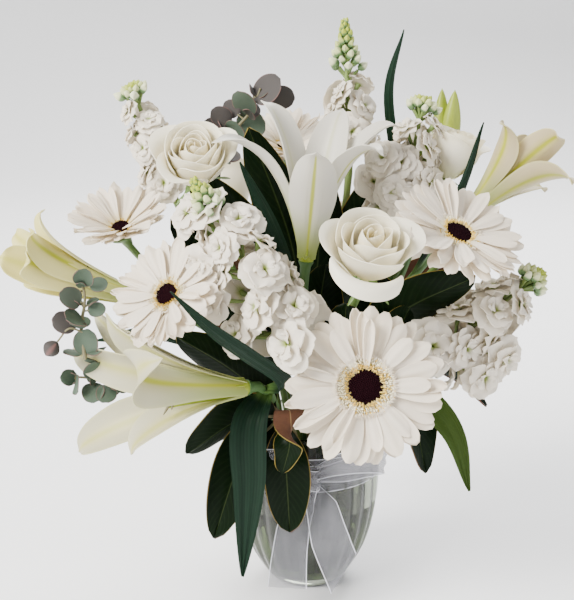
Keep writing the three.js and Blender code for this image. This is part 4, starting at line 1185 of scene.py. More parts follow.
def add_low_leaves(stem, name, draw, coat):
    """Narrow leaves left on the lower stem. They reach out towards the glass and stay clear of it."""
    cut, neck = stem_line(name)[:2]
    for _ in range(LOW_LEAVES["count"]):
        root = lerp(cut, neck, draw.uniform(0.08, 0.7))
        turn = draw.uniform(0, 2 * math.pi)
        high = min(root[2] + draw.uniform(30, 48), LOW_LEAVES["highest"])
        tip = polar(turn, vase_radius(high) - LOW_LEAVES["tip_gap"], high)
        middle = lerp(root, tip, 0.5) + polar(turn, 3, -4)
        if math.hypot(middle[0], middle[1]) > vase_radius(middle[2]) - LOW_LEAVES["middle_gap"]:
            continue
        across = vec(-math.sin(turn), math.cos(turn), 0)
        half = draw.uniform(4.5, 8.0)
        shape = along_path(
            [root, middle, tip],
            across,
            lambda v: half * np.maximum(0.05, np.sin(np.pi * np.minimum(0.98, 0.08 + 0.9 * v)) ** 0.8),
            lambda u, v: 0.8 * u * u,
        )
        stem.sheet(shape, 6, 12, shade=0.4, coats=(coat, coat), thick=0.5)


# %% Lily stems
def lily_stem(name, bloom, seed):
    """The stem of one lily with its leaves, and with the buds on the right-hand one."""
    draw = np.random.default_rng(seed)
    stem = Tissue()
    grow_stem(stem, name, [(9, 3.4), (4, 3.8), (0.3, 5.6)], sides=12)
    for share, path, wide, across, fresh in lily_leaves[bloom]:
        blade = lily_leaf([point_on_stem(name, share), *path], wide, across, draw)
        stem.sheet(blade, 14, 30, shade=fresh * draw.uniform(0.8, 1.0), coats=(1, 1), thick=0.5)
    if bloom == "right":
        add_buds(stem, name)
    add_low_leaves(stem, name, draw, 1)
    return stem


def add_buds(stem, name):
    """Two closed green buds on a side branch."""
    top = vec(101, 48, 302)
    branch = Curve([point_on_stem(name, 0.5), (86, 44, 264), top])
    stem.rod(branch.steps(9), np.linspace(2.4, 2.9, 9), 10)

    def lobes(a):
        return 1 + 0.07 * np.cos(3 * a) - 0.05 * np.exp(-((np.cos(1.5 * a) / 0.15) ** 2))

    for wide, off, facing in ((14, (0.5, 0, -1), (0.09, -0.04, 1)), (13, (-4.5, 3, -1), (0.03, 0.04, 1))):
        stem.form(bud_outline(59, wide, 0.5, 16), 30, Place(top + vec(*off), facing), 0.5, 2, lobes)


# %% [markdown]
# ## Stock
# Stock is a spike of double florets. Low down they are open, with four rings of broad wavy petals. Higher up
# they are smaller, and the tip is a knot of green buds. Six florets are shaped once with different
# ruffles, and their copies stand round the spike, each on a short stalk.

# %% Stock shapes
# `low` and `top` are the ends of a spike, `reach` is how far its florets stand out, `from` and `to` are the
# shares of its length that carry them, and `more` gives the places of single florets.
stocks = {
    "centre": {"low": (-15, -96, 222), "top": (-75, -88, 317), "florets": 10, "size": 17.5, "reach": 21,
               "from": -0.12, "to": 0.62, "buds": 4,
               "more": [(-66, -86, 298), (-78, -76, 292), (-70, -94, 262), (-64, -98, 240), (-46, -97, 216),
                        (-46, -92, 290)]},
    "top": {"low": (30, 34, 330), "top": (26, 38, 409), "florets": 6, "size": 15.5, "reach": 15,
            "from": -0.2, "to": 0.36, "buds": 5},
    "upper_left": {"low": (-102, 20, 300), "top": (-124, 18, 364), "florets": 7, "size": 13, "reach": 13,
                   "from": -0.1, "to": 0.7, "buds": 4},
    "upper_right": {"low": (67, -2, 281), "top": (80, 5, 357), "florets": 9, "size": 15.5, "reach": 18,
                    "from": -0.15, "to": 0.7, "buds": 4,
                    "more": [(52, -12, 318), (58, -18, 296), (46, -2, 300)]},
    "lower_right": {"low": (88, -58, 192), "top": (158, -48, 246), "florets": 9, "size": 18, "reach": 18,
                    "from": -0.15, "to": 0.68, "buds": 6, "more": [(118, -66, 178), (132, -62, 190)]},
}
FLORET_RINGS = [  # shares of the floret's radius, and how far a petal leans up
    {"petals": 5, "reach": 1.0, "up": 0.10, "wide": 1.22, "root": 0.0},
    {"petals": 4, "reach": 0.80, "up": 0.48, "wide": 1.02, "root": 0.12},
    {"petals": 3, "reach": 0.50, "up": 1.1, "wide": 0.66, "root": 0.18},
    {"petals": 2, "reach": 0.30, "up": 1.6, "wide": 0.42, "root": 0.20},
]

# %% One floret
def floret_petal(ring, angle, draw):
    """A petal of a floret whose radius is one. The mesh is made at ten millimetres."""
    reach = 10 * ring["reach"] * draw.uniform(0.88, 1.06)
    wide = 10 * ring["wide"] * draw.uniform(0.85, 1.1)
    up = ring["up"] + draw.normal() * 0.12
    phase = draw.uniform(0, 6.3)
    ruffle = draw.uniform(0.5, 1.2)
    notch = draw.uniform(0.0, 0.12)

    def shape(u, v):
        width = wide / 2 * (0.16 + 0.84 * rise(v, 0.0, 0.62)) * (1 - 0.35 * rise(v, 0.72, 1.0))
        run = 0.6 + reach * v * (1 - 0.16 * u * u - notch * np.exp(-((u / 0.25) ** 2)))
        wavy = ruffle * np.sin(u * 3.6 + phase) * v**2 + 0.5 * ruffle * np.sin(u * 7 + phase * 2) * v**3
        height = 10 * ring["root"] + reach * (up * v - 0.45 * up * v**2.4 - 0.12 * v**3) + wavy
        cupped = 0.16 * width * u * u * (1 - v)
        return polar(angle, run, height + cupped, u * width)

    return shape


def make_floret(seed):
    draw = np.random.default_rng(seed)
    floret = Tissue()
    for ring in FLORET_RINGS:
        for k in range(ring["petals"]):
            angle = 2 * math.pi * (k + draw.uniform(-0.15, 0.15)) / ring["petals"] + ring["reach"] * 2.4
            floret.sheet(floret_petal(ring, angle, draw), 6, 6, None, draw.random(), thick=0.4)
    return floret


florets = [make_floret(40 + k) for k in range(6)]
print("a floret has", sum(len(f) for f in florets[0].faces), "faces")

# %% Florets on a spike
def spike_of(spec):
    """The two ends of a spike, its length, and the place at its foot."""
    low, top = vec(*spec["low"]), vec(*spec["top"])
    return low, top, np.linalg.norm(top - low), Place(low, top - low)


def floret_places(spec, draw):
    """Where each floret sits: in a spiral round the spike, then the single ones."""
    low, top, long, spike = spike_of(spec)
    count = int(spec["florets"] * 1.6)
    for k in range(count):
        share = (k + 0.5) / count
        angle = k * GOLDEN + draw.normal() * 0.15
        facing = unit(vec(math.cos(angle), math.sin(angle), 0.15 + share * 0.75))
        out = spec["reach"] * lerp(1.0, 0.85, share) * draw.uniform(0.84, 1.08)
        root = vec(0, 0, long * lerp(spec["from"], spec["to"], share))
        yield {
            "root": spike.put(root - vec(0, 0, out * 0.4)),
            "at": spike.put(root + facing * out),
            "facing": spike.turned(facing),
            "size": spec["size"] / 10 * lerp(1.12, 0.74, share) * draw.uniform(0.9, 1.08),
        }
    for at in spec.get("more", []):
        along = (vec(*at) - low) @ (top - low) / long**2
        root = lerp(low, top, np.clip(along - 0.2, -0.1, 0.7))
        facing = unit(vec(*at) - root) * 0.6 + vec(0, -1.0, 0.25)
        yield {"root": root, "at": vec(*at), "facing": unit(facing), "size": spec["size"] / 10 * 0.95}


def stock_florets(spec, seed):
    """The open florets of one spike, each a copy on its stalk."""
    draw = np.random.default_rng(seed)
    cluster = Tissue()
    for k, one in enumerate(floret_places(spec, draw)):
        place = Place(one["at"], one["facing"] + draw.normal(size=3) * 0.26, draw.uniform(0, 6.3))
        cluster.copies(florets[k % len(florets)], place, one["size"])
        seat = one["at"] + one["facing"] * 1.2
        middle = lerp(one["root"], seat, 0.55)
        cluster.rod([one["root"], middle, seat], [0.8, 1.3, 2.2], 6, 0.5, coat=1)
    return cluster


# %% Stock stems
def stock_stem(name, spec, seed):
    """The stem, the middle of the spike, its low leaves, and the buds at its tip."""
    draw = np.random.default_rng(seed)
    stem = Tissue()
    _, _, long, spike = spike_of(spec)
    grow_stem(stem, name, [(12, 2.6)], sides=10)
    core = [spike.put(vec(0, 0, high)) for high in np.linspace(-12, long * 0.97, 8)]
    stem.rod(core, np.linspace(2.5, 1.2, 8), 10)
    add_low_leaves(stem, name, draw, 2)

    def fold(a):
        return 1 + 0.10 * np.cos(4 * a)

    count = spec["buds"] * 7 + 6
    for k in range(count):
        share = (k + 0.5) / count
        angle = k * GOLDEN
        height = long * lerp(min(0.86, spec["to"] + 0.12), 0.97, share)
        out = unit(vec(math.cos(angle), math.sin(angle), lerp(0.7, 2.6, share)))
        stalk = lerp(9, 1.5, share) * draw.uniform(0.8, 1.1)
        at = vec(0, 0, height) + out * stalk
        stem.rod([spike.put(vec(0, 0, height - 2)), spike.put(at)], [0.7, 1.1], 6)
        size = lerp(10, 4.8, share) * draw.uniform(0.85, 1.1)
        bud = bud_outline(size, size * 0.62, 0.42, 6)
        stem.form(bud, 8, Place(spike.put(at), spike.turned(out)), min(1, 0.2 + share * 1.3), 1, fold)
    return stem


# %% [markdown]
# ## Eucalyptus
# The sprigs carry round leaves in pairs, and each pair stands at a right angle to the last. Young leaves
# near the tip are small and flushed purple. On the left a round seed bud stands on a thin stalk.

# %% Eucalyptus shapes
# Besides the pairs on its sprigs, a stem has `leaves` that show their faces to the front: the middle of
# each, its radius, and how purple it is. `bud` is the line of the seed bud's stalk.
eucalypts = {
    "top": {
        "arrive": (0.2, 0, 1),
        "sprigs": [{"low": (-64, 36, 306), "top": (-34, 32, 362), "pairs": 4, "leaf": 10, "purple": 0.85}],
        "leaves": [
            (-30, 30, 362, 12.5, 1.0), (-46, 30, 351, 11, 0.5), (-18, 36, 355, 9, 1.0),
            (-62, 30, 342, 8.5, 1.0), (-55, 36, 347, 7, 1.0), (-41, 38, 335, 12, 0.3),
            (-52, 28, 333, 9, 0.4), (-68, 30, 334, 8, 0.9),
        ],
    },
    "left": {
        "arrive": (-0.8, -0.4, 0.5),
        "sprigs": [
            {"low": (-150, -78, 194), "top": (-150, -80, 250), "pairs": 4, "leaf": 7, "purple": 0.45},
            {"low": (-106, -64, 168), "top": (-164, -68, 178), "pairs": 4, "leaf": 5.5, "purple": 0.1},
        ],
        "leaves": [
            (-148, -86, 252, 8.5, 0.25), (-157, -84, 238, 8.5, 0.6), (-139, -80, 246, 6, 0.2),
            (-154, -88, 225, 10, 0.45), (-162, -82, 221, 8.5, 1.0), (-141, -80, 229, 6, 0.3),
            (-149, -80, 206, 10, 0.0), (-163, -72, 179, 6, 0.0), (-157, -76, 175, 7.5, 0.3),
            (-145, -74, 184, 9, 0.2), (-146, -76, 170, 9, 0.35), (-137, -76, 169, 8.5, 0.2),
            (-129, -72, 172, 7, 0.4), (-117, -70, 172, 7, 0.3), (-106, -70, 176, 9, 0.1),
        ],
        "bud": [(-150, -80, 213), (-159, -84, 217), (-167, -84, 208)],
    },
}

# %% Round leaves
def round_leaf(radius, draw):
    """A round leaf on a short stalk, lying along X."""
    oval = draw.uniform(0.8, 0.98)
    cup = draw.uniform(-0.3, 0.35)
    phase = draw.uniform(0, 6.3)

    def shape(u, v):
        half = radius * oval * np.sqrt(np.maximum(0.0, 1 - (2 * v - 1) ** 2)) * (1 - 0.12 * v) + 0.5
        wave = 0.35 * np.sin(v * 7 + u * 2 + phase) * np.abs(u)
        z = cup * (u * half) ** 2 / radius - 0.14 * radius * v * v + wave
        return stack(2.0 + 2 * radius * v, u * half, z)

    return shape


def leaf_place(at, along, up):
    """The place of a leaf that grows from `at` along `along`, with its face towards `up`."""
    place = Place(at, up)
    place.axes = np.stack([along, np.cross(up, along), up])
    return place


# %% Sprigs
def add_sprig(twig, sprig, draw):
    """A twig with its pairs of leaves, each pair turned by a right angle."""
    low, top = vec(*sprig["low"]), vec(*sprig["top"])
    long = np.linalg.norm(top - low)
    side = unit(np.cross(top - low, vec(0.3, 1, 0.2)))
    bends = [lerp(low, top, 0.4) + side * long * 0.035, lerp(low, top, 0.75) - side * long * 0.03]
    line = Curve([low, *bends, top])
    twig.rod(line.steps(10), np.linspace(1.5, 0.7, 10), 8, 0.5, coat=1)
    for pair in range(sprig["pairs"]):
        share = pair / (sprig["pairs"] - 0.5)
        at = line.at(0.04 + 0.92 * share)
        radius = sprig["leaf"] * (1.05 - 0.62 * share) * draw.uniform(0.85, 1.1)
        for half in (0, 1):
            turn = pair * math.pi / 2 + half * math.pi + draw.normal() * 0.2
            around = vec(math.cos(turn), math.sin(turn), 0.35 + 0.9 * share + draw.normal() * 0.12)
            along = Place(at, line.ahead(share)).turned(unit(around))
            up = unit(np.cross(np.cross(along, line.ahead(share)), along))
            shade = np.clip(sprig["purple"] * draw.uniform(0.5, 1.2), 0, 1)
            twig.sheet(round_leaf(radius, draw), 10, 10, leaf_place(at, along, up), shade, thick=0.5)
            twig.rod([at, at + along * 3.4], [0.9, 0.5], 6, 0.5, coat=1)


def add_round_leaves(twig, spec, draw):
    """The broad leaves that show their faces to the front, each on a short stalk from the nearest sprig."""
    ends = [(vec(*s["low"]), vec(*s["top"])) for s in spec["sprigs"]]
    spots = [lerp(low, top, share) for low, top in ends for share in np.linspace(0, 0.9, 10)]
    for x, y, z, radius, purple in spec["leaves"]:
        middle = vec(x, y, z)
        near = min(spots, key=lambda spot: np.linalg.norm(spot + vec(0, 0, 4) - middle))
        along = unit(middle - near + vec(0.1, 0, 0.2))
        up = vec(draw.normal() * 0.4, -1, 0.35 + draw.normal() * 0.3)
        up = unit(up - along * (up @ along))
        at = middle - along * (radius + 2)
        twig.sheet(round_leaf(radius, draw), 12, 12, leaf_place(at, along, up), purple, thick=0.5)
        twig.rod([near, lerp(near, at, 0.5), at + along * 3], [0.8, 0.7, 0.5], 6, 0.5, coat=1)


# %% Eucalyptus stems
def eucalyptus_twigs(name, seed):
    """A stem with all its sprigs. The first one goes on from its head, and the others fork off below."""
    draw = np.random.default_rng(seed)
    spec = eucalypts[name]
    twig = Tissue()
    grow_stem(twig, "eucalyptus_" + name, [(2.2, 1.6), (0, 1.6)], sides=8)
    fork = point_on_stem("eucalyptus_" + name, 0.7)
    for sprig in spec["sprigs"][1:]:
        twig.rod([fork, vec(*sprig["low"])], [1.5, 1.4], 8)
    for sprig in spec["sprigs"]:
        add_sprig(twig, sprig, draw)
    add_round_leaves(twig, spec, draw)
    if "bud" in spec:
        stalk = Curve(spec["bud"])
        twig.rod(stalk.steps(9), 0.7, 8, 0.5, coat=1)
        end = Place(spec["bud"][-1], stalk.ahead(1.0))
        twig.form(bud_outline(13, 11.5, 0.5, 10), 16, end, 1.0, 0)
    return twig


# %% [markdown]
# ## Magnolia leaves
# Magnolia leaves are thick and stiff, with a stout stalk, a sunken rib and edges that wave. The sheet gets
# two finishes: polished green above, so dark that it is partly painted shade of the bunch's inside, and rusty
# felt below. One leaf of the front branch has curled over, so that its rusty back shows at the top and its
# green face at the bottom.

# %% Magnolia shapes
# The leaves of a branch grow from one knot. Each has its line, its width, the direction across it, and where
# it differs also how blunt it is. A blunter leaf is widest nearer its tip.
BLUNT = 0.9
CURLED = "curled"
# Some of these leaves fill gaps between the blooms. There, their near-black green is painted shade, the dark
# inside the bunch.
magnolias = {
    "front": {"knot": (-18, -56, 146), "out": (-0.3, -0.7, 0.5), "leaves": [
        ([(-46, -66, 148), (-84, -76, 126)], 38, (0.25, -0.35, 1)),
        ([(-44, -68, 122), (-66, -74, 62)], 36, (1, 0.1, 0.4)),
        ([(-16, -74, 122), (-13, -77, 68)], 32, (1, 0.15, 0.1), 1.35),
        ([(-13, -83, 158), (-13, -91, 139), (-18, -90, 117)], 23, (0.8, 0.5, 0.3), CURLED),
        ([(-50, -46, 174), (-92, -42, 200)], 36, (0.4, -0.3, 1)),
    ]},
    "right": {"knot": (48, -34, 176), "out": (0.7, -0.5, 0.5), "leaves": [
        ([(60, -56, 218), (110, -72, 250)], 38, (0.9, 0.1, -0.7)),
        ([(92, -30, 172), (128, -24, 142)], 40, (0, 1, 0.1)),
        ([(70, -50, 154), (82, -62, 106)], 34, (0.7, 0.6, 0)),
        ([(52, -26, 206), (40, -36, 244)], 36, (1, 0.1, 0)),
        ([(72, -14, 204), (104, -20, 236)], 38, (0.7, 0.1, -0.7)),
    ]},
    "middle": {"knot": (2, -52, 172), "out": (0, -0.6, 0.8), "leaves": [
        ([(-20, -72, 196), (-42, -76, 232)], 36, (0.9, -0.3, 0.4)),
        ([(20, -76, 196), (24, -84, 234)], 38, (1, 0.1, 0)),
        ([(48, -62, 190), (68, -60, 226)], 36, (0.7, 0.3, -0.6)),
        ([(-26, -38, 196), (-66, -36, 226)], 38, (0.6, 0.1, 0.8)),
        ([(6, -30, 206), (12, -24, 246)], 38, (1, 0.1, 0)),
    ]},
    "rear": {"knot": (0, 50, 162), "out": (0, 0.9, 0.5), "leaves": [
        ([(-36, 84, 168), (-84, 112, 148)], 42, (0.6, 0.8, 0.2)),
        ([(36, 86, 166), (84, 112, 150)], 42, (-0.6, 0.8, 0.2)),
        ([(0, 92, 170), (4, 132, 142)], 44, (1, 0, 0.1)),
        ([(-10, 86, 206), (-22, 112, 262)], 40, (1, 0.2, 0)),
        ([(-32, 34, 214), (-72, 6, 266)], 42, (0.8, 0.2, 0.6)),
        ([(-12, 24, 250), (-42, 4, 338)], 40, (1, 0.1, 0.3)),
        ([(8, 24, 250), (2, 6, 322)], 38, (1, 0, 0)),
        ([(34, 26, 246), (60, 12, 318)], 40, (0.9, 0, -0.4)),
        ([(-40, 26, 246), (-84, 12, 306)], 40, (0.8, 0.2, 0.6)),
        ([(-54, 32, 200), (-104, 22, 240)], 40, (0.5, 0.3, 0.8)),
        ([(-50, 26, 226), (-98, 8, 272)], 40, (0.8, 0.2, 0.7)),
        ([(54, 30, 240), (84, 16, 288)], 38, (0.9, 0, -0.5)),
        ([(60, 52, 198), (108, 40, 236)], 40, (-0.5, 0.3, 0.8)),
    ]},
}

# %% Magnolia leaves
def magnolia_leaf(line, wide, across, kind, draw):
    """A broad blade with a sunken rib and wavy edges. `kind` is its bluntness, or says that it is curled."""
    half = wide / 2
    phase = draw.uniform(0, 6.3)
    wave = draw.uniform(0.7, 1.2)

    def width(v):
        blade = np.sin(np.pi * np.clip((v - 0.10) / 0.9, 0, 1) ** (BLUNT if kind == CURLED else kind))
        return np.maximum(half * np.maximum(0, blade) ** 0.54, 1.1 * (1 - 0.6 * v))

    def lifted(u, v):
        blade = rise(v, 0.12, 0.4)
        waves = wave * np.sin(v * 15 + phase + np.sign(u)) * np.abs(u) ** 2.5 * blade
        rib = -0.9 * np.exp(-((u / 0.12) ** 2)) * blade
        return u * u * width(v) * 0.24 + waves + rib

    if kind == CURLED:
        return curled_leaf(line, width)
    return along_path(line, across, width, lifted)


def curled_leaf(line, width):
    """A leaf that hangs with its back to the front and then twists, so that its face shows lower down."""
    curve = Curve(line)

    def shape(u, v):
        centre = np.array([curve.at(s) for s in v[:, 0]])
        turn = 0.35 + 2.5 * rise(v, 0.42, 0.72)
        aside = u * width(v)
        cupped = 0.30 * width(v) * u * u + 1.3 * np.sin(v * 26 + u * 3) * u * u * rise(v, 0.55, 0.8)
        x = aside * np.cos(turn) - cupped * np.sin(turn)
        y = aside * np.sin(turn) + cupped * np.cos(turn)
        return centre[:, None] + stack(x, y, 0 * x)

    return shape


def faces_out(shape):
    """Whether the front of a leaf looks up and away from the bunch, as its green face does."""
    v, u = np.meshgrid((0.5, 0.6), (-0.2, 0.2), indexing="ij")
    points = shape(u, v)
    normal = np.cross(points[0, 1] - points[0, 0], points[1, 0] - points[0, 0])
    middle = points[0, 0]
    return normal @ (unit(vec(middle[0], middle[1] - 45, 0)) + vec(0, 0, 0.4)) > 0


# %% Magnolia branches
def magnolia_branch(name, seed):
    """The stem, a bud at its knot, and the leaves with their stalks."""
    draw = np.random.default_rng(seed)
    spec = magnolias[name]
    branch = Tissue()
    grow_stem(branch, "magnolia_" + name, [(8, 2.7), (3, 3.0), (0, 2.8)], sides=10)
    knot = vec(*spec["knot"])
    branch.form(bud_outline(11, 6, 0.4), 10, Place(knot - vec(0, 0, 4), spec["out"]), 0.3, 0)
    for path, wide, across, *kind in spec["leaves"]:
        line = [knot, *path]
        shape = magnolia_leaf(line, wide, across, *kind or [BLUNT], draw)
        coats = (1, 2) if CURLED in kind or faces_out(shape) else (2, 1)
        branch.sheet(shape, 16, 28, shade=draw.random(), coats=coats, thick=0.7)
        stalk = Curve(line).steps(7, end=0.3)
        branch.rod([spot - vec(0, 0, 0.4) for spot in stalk], np.linspace(1.9, 0.9, 7), 8, 0.6, 0)
    return branch


# %% [markdown]
# ## The bunch
# Stems are put in the neck of the vase in the same order as in the solids, so that they settle in the
# same places. Then each bloom, stem and branch is made, and takes the place of its solid.

# %% All stems and blooms
for name, spec in gerberas.items():
    add_stem(f"gerbera_{name}_stem", spec["at"], spec["facing"], 2.6)
for name, spec in roses.items():
    add_stem(f"rose_{name}_stem", spec["at"], spec["facing"], 2.6)
for name, spec in lilies.items():
    add_stem(f"lily_{name}_stem", spec["at"], spec["facing"], 3.4)
for name, spec in stocks.items():
    add_stem(f"stock_{name}_stem", spec["low"], vec(*spec["top"]) - vec(*spec["low"]), 2.8)
for name, spec in eucalypts.items():
    add_stem(f"eucalyptus_{name}", spec["sprigs"][0]["low"], spec["arrive"], 1.7)
for name, spec in magnolias.items():
    add_stem(f"magnolia_{name}", spec["knot"], spec["out"], 2.6)
settle_stems()
print("stems in the neck:", len(stems))

# %% Gerberas in place
for seed, (name, spec) in enumerate(gerberas.items()):
    title = f"gerbera_{name}"
    rays = gerbera_rays(spec, seed)
    make_piece(title + "_white_rays", rays, title + "_rays", "gerberaWhite", gerbera_white)
    make_piece(title + "_dark_eye", gerbera_eye(spec, seed), title + "_eye", "gerberaEye", gerbera_dark)
    make_piece(title + "_green_stem", gerbera_stem(title + "_stem"), title + "_stem", "stemGreen", stem_green)


# %% Roses in place
for seed, (name, spec) in enumerate(roses.items()):
    title = f"rose_{name}"
    frill = 1.6 if name == "left" else 0.9
    bloom = rose_bloom(spec, 20 + seed, frill)
    make_piece(title + "_bloom", bloom, title + "_petals", "roseIvory", rose_ivory)
    make_piece(title + "_green_stem", rose_stem(title + "_stem"), title + "_stem", "stemGreen", stem_green)


# %% Lilies in place
for seed, (name, spec) in enumerate(lilies.items()):
    title = f"lily_{name}"
    bloom = lily_bloom(spec, 30 + seed)
    coats = lily_coats[spec["stage"]]
    make_piece(title + "_bloom", bloom, title + "_tepals", "lilyCream", *coats, bud_green, twig_brown)
    stem = lily_stem(title + "_stem", name, 34 + seed)
    greens = (lily_stem_green, lily_leaf_green, bud_green)
    make_piece(title + "_stem_leaves", stem, title + "_stem", "lilyGreen", *greens)


# %% Stock in place
for seed, (name, spec) in enumerate(stocks.items()):
    title = f"stock_{name}"
    cluster = stock_florets(spec, 50 + seed)
    make_piece(title + "_cluster", cluster, title + "_florets", "stockWhite", stock_white, stock_green)
    stem = stock_stem(title + "_stem", spec, 60 + seed)
    greens = (stock_green, stock_bud, lily_leaf_green)
    make_piece(title + "_green_stem", stem, title + "_stem", "stockGreen", *greens)


# %% Foliage in place
for seed, name in enumerate(eucalypts):
    twigs = eucalyptus_twigs(name, 70 + seed)
    node = f"eucalyptus_{name}"
    make_piece(node + "_twigs", twigs, node, "eucalyptus", eucalyptus_grey, twig_brown)
for seed, name in enumerate(magnolias):
    branch = magnolia_branch(name, 80 + seed)
    node = f"magnolia_{name}"
    make_piece(node + "_branch", branch, node, "magnolia", twig_brown, magnolia_above_and_painted_shade, magnolia_below)

# %% [markdown]
# ## The vase and its water
# The vase is blown into a mould with upright flutes, so its wall has a faint ripple outside and is smooth
# inside. Wall and floor are real thicknesses, because glass only looks like glass when light goes in and
# out of it. The water is made a hair wider than the room inside, so that no film of air shows between.

# %% Turning a profile
def flute(turns, z):
    """How far the flutes stand out at a height: full on the belly, nothing at foot and rim."""
    full = rise(z, 8, 30) * (1 - rise(z, 104, 116))
    return FLUTES["depth"] * full * (np.abs(np.cos(turns * FLUTES["count"] / 2)) - 0.6)


def lathe(profile, sides, fluted=0):
    """Turns a closed profile of (radius, height) about Z. The first `fluted` rings carry the flutes."""
    turns = np.linspace(0, 2 * np.pi, sides, endpoint=False)
    rings = []
    for i, (r, z) in enumerate(profile[1:-1]):
        rings.append(polar(turns, r + (flute(turns, z) if i < fluted else 0), z))
    made = Tissue()
    ends = [vec(0, 0, profile[0][1]), vec(0, 0, profile[-1][1])]
    made.closed(rings, ends, 0.5, 0.0, 0.5, 0)
    return made


# %% The profiles of glass and water
def room(z):
    """The radius of the room inside the vase at a height."""
    return vase_radius(z) - VASE["wall"]


def vase_profile():
    """The line round the glass, from under the foot up, over the lip and down inside."""
    rim, floor = VASE["rim"], VASE["floor"]
    foot = [(0, 0.6), (14, 0.5), (21, 0.0), (23.6, 0.3), (24.8, 1.2)]
    heights = (2.5, 6, 10, 15, 22, 30, 38, 46, 54, 62, 70, 78, 86, 94, 101, 108, 114, 119)
    outer = [(vase_radius(z), z) for z in heights]
    lip = [(rim + 0.15, 122.3), (rim - 0.6, 123.6), (rim - 1.5, 124.0)]
    lip += [(rim - 2.4, 123.6), (rim - 2.95, 122.3)]
    heights = (119, 114, 108, 101, 94, 86, 78, 70, 62, 54, 46, 38, 30, 23, 17, 13, 10.6)
    inner = [(room(z), z) for z in heights]
    low = [(room(floor) - 2.5, floor + 0.3), (room(floor) - 6, floor), (12, floor)]
    return [*foot, *outer, *lip, *inner, *low, (0, floor)], len(foot) - 1 + len(outer)


def water_profile():
    """The line round the water, which is `over` wider and deeper than the room and rises at the glass."""
    over, floor, level = 0.12, VASE["floor"], WATER_TOP
    bottom = [(0, floor - over), (12, floor - over), (room(floor) - 6, floor - over)]
    bottom += [(room(floor) - 2.5 + over, floor + 0.3 - over)]
    side = [(room(z) + over, z) for z in (10.6, 13, 17, 23, 30, 38, 46, 54, 60, 63)]
    top = [(room(level) + over, level - 0.1), (room(level) - 1.2, level - 0.7)]
    top += [(room(level) - 3, level - 1.0), (0, level - 1.0)]
    return [*bottom, *side, *top]


# %% Glass and water
profile, fluted = vase_profile()
vase = make_piece("glass_vase", lathe(profile, 208, fluted), "vase", "glass", glass_clear)
water = make_piece("clear_water", lathe(water_profile(), 96), "water", "water", water_clear)
print("glass and water:", len(vase.data.polygons), len(water.data.polygons))

# %% [markdown]
# ## The ribbon
# The bow is made of flat lengths of organza, as a florist ties it: a band round the neck, two loops, two
# tails, and a short piece wound over the knot. Each is one sheet on a smooth line. Its width runs across the
# line, and where it is drawn together it is narrower and has shallow creases. The flat length that is said
# of a sheet is its area divided by the width of the ribbon.

# %% Ribbon
RIBBON = {"width": 25, "thick": 0.25}
KNOT = vec(3, -61.5, 101)


def ribbon_shape(curve, widths, creases):
    """A ribbon on a smooth line. `widths` lists its half width as a vector, as shares, along the line."""
    sides = np.array(widths, float)
    knots = np.linspace(0, 1, len(widths))

    def shape(u, v):
        centre = np.array([[curve.at(s) for s in row] for row in v])
        across = np.stack([np.interp(v, knots, sides[:, i]) for i in range(3)], axis=-1)
        ahead = np.array([[curve.ahead(s) for s in row] for row in v])
        face = np.cross(ahead, across)
        face /= np.maximum(np.linalg.norm(face, axis=-1, keepdims=True), 1e-9)
        narrow = 1 - np.linalg.norm(across, axis=-1)
        folds = creases * (0.5 + 2.2 * np.clip(narrow, 0, 1)) * np.cos(u * 7.5 + v * 2.0)
        return centre + across * (u * RIBBON["width"] / 2)[..., None] + face * folds[..., None]

    return shape


def area_of(tissue):
    """The area of one face of a thin closed sheet, in square millimetres."""
    points = np.concatenate(tissue.points)
    faces = np.concatenate(tissue.faces)
    a, b, c, d = (points[faces[:, i]] for i in range(4))
    return 0.5 * np.linalg.norm(np.cross(c - a, d - b), axis=1).sum() / 2


def tie(name, path, widths, creases, node="ribbon_bow", along=60):
    """One length of the ribbon as a piece of its own."""
    curve = Curve(path)
    cloth = Tissue()
    cloth.sheet(ribbon_shape(curve, widths, creases), 16, along, thick=RIBBON["thick"])
    piece = make_piece(name, cloth, node, "organza", organza_sheer)
    flat_length = area_of(cloth) / RIBBON["width"]
    run = np.linalg.norm(np.diff(curve.steps(200), axis=0), axis=1).sum()
    print(f"{name}: on a line of {run:.0f} mm, {RIBBON['width']} by {flat_length:.0f} mm of cloth")


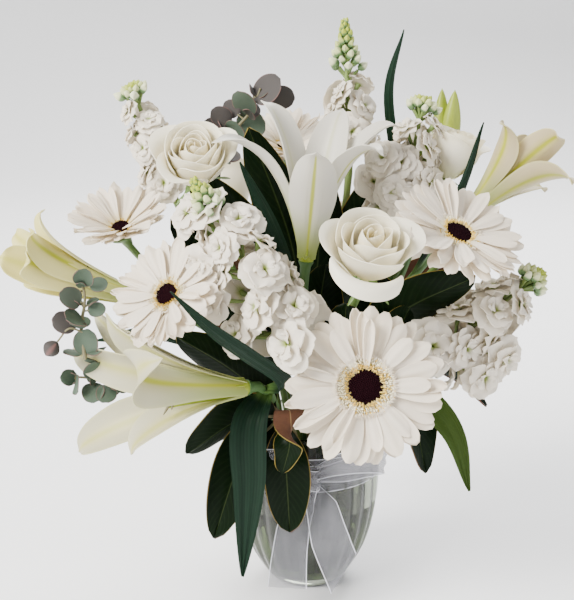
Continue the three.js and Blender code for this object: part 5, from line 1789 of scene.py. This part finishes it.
# %% The band and the tails
BAND = {"low": 87, "high": 112, "off_glass": 1.6, "start": 1.6, "spots": 49}
TAILS = {
    "left": {
        "path": [KNOT + vec(-1, -2, -6), (-8, -64, 76), (-13, -65, 48), (-15, -64, 19)],
        "widths": [(0.35, -0.1, 0.1), (0.93, -0.1, 0.15), (1, 0, 0.05), (1.12, -0.1, -0.02)],
    },
    "right": {
        "path": [KNOT + vec(2, 1.5, -6), (9, -66, 83), (15.5, -70, 58), (25, -68, 32)],
        "widths": [(0.3, 0.1, -0.1), (0.85, 0.1, 0.2), (1.05, 0, 0.35), (0.7, 0, 1.25)],
    },
}


def band_path():
    """Once round the neck, on the mean radius of the glass under the band."""
    radius = (vase_radius(BAND["low"]) + vase_radius(BAND["high"])) / 2 + BAND["off_glass"]
    turns = np.linspace(0, 2 * np.pi, BAND["spots"])
    return [polar(a + BAND["start"], radius, (BAND["low"] + BAND["high"]) / 2) for a in turns]


upright = [(0, 0, 1.0)] * 3
tie("ribbon_round_neck", band_path(), upright, 0.12, "ribbon_band", along=144)
for side, tail in TAILS.items():
    tie(f"ribbon_{side}_tail", tail["path"], tail["widths"], creases=0.35)


# %% The loops and the knot
# A loop is given as points (out from the knot, Y, Z). The left one reaches less far than the right one.
LOOP = [(18, -74, 117), (36, -78, 121), (50, -71, 118), (42, -63, 114), (22, -60.5, 107)]
LOOP_WIDTHS = [(0, -0.15, 0.7), (0, -0.25, 0.78), (-0.1, -0.1, 0.75), (0, 0.1, 0.8), (0, 0, 0.7)]
GATHERED = (0, 0, 0.42)


def knot_path():
    """Once round the gathers."""
    turns = np.linspace(0.3, 2 * np.pi + 0.1, 25)
    return [KNOT + vec(5.2 * math.sin(a), 4.6 * math.cos(a), 0.4 * math.sin(2 * a)) for a in turns]


for title, side, far in (("left", 1, 0.68), ("right", -1, 1.0)):
    middle = [(KNOT[0] - out * side * far, y, z) for out, y, z in LOOP]
    loop = [(KNOT[0] - 3 * side, -64.5, 107), *middle, (KNOT[0] - 3 * side, -59.5, 103)]
    widths = [GATHERED, *((x * side, y, z) for x, y, z in LOOP_WIDTHS), GATHERED]
    tie(f"ribbon_{title}_loop", loop, widths, creases=0.55)
tie("ribbon_knot", knot_path(), [(0, 0, 0.62)] * 3, creases=0.5, along=40)
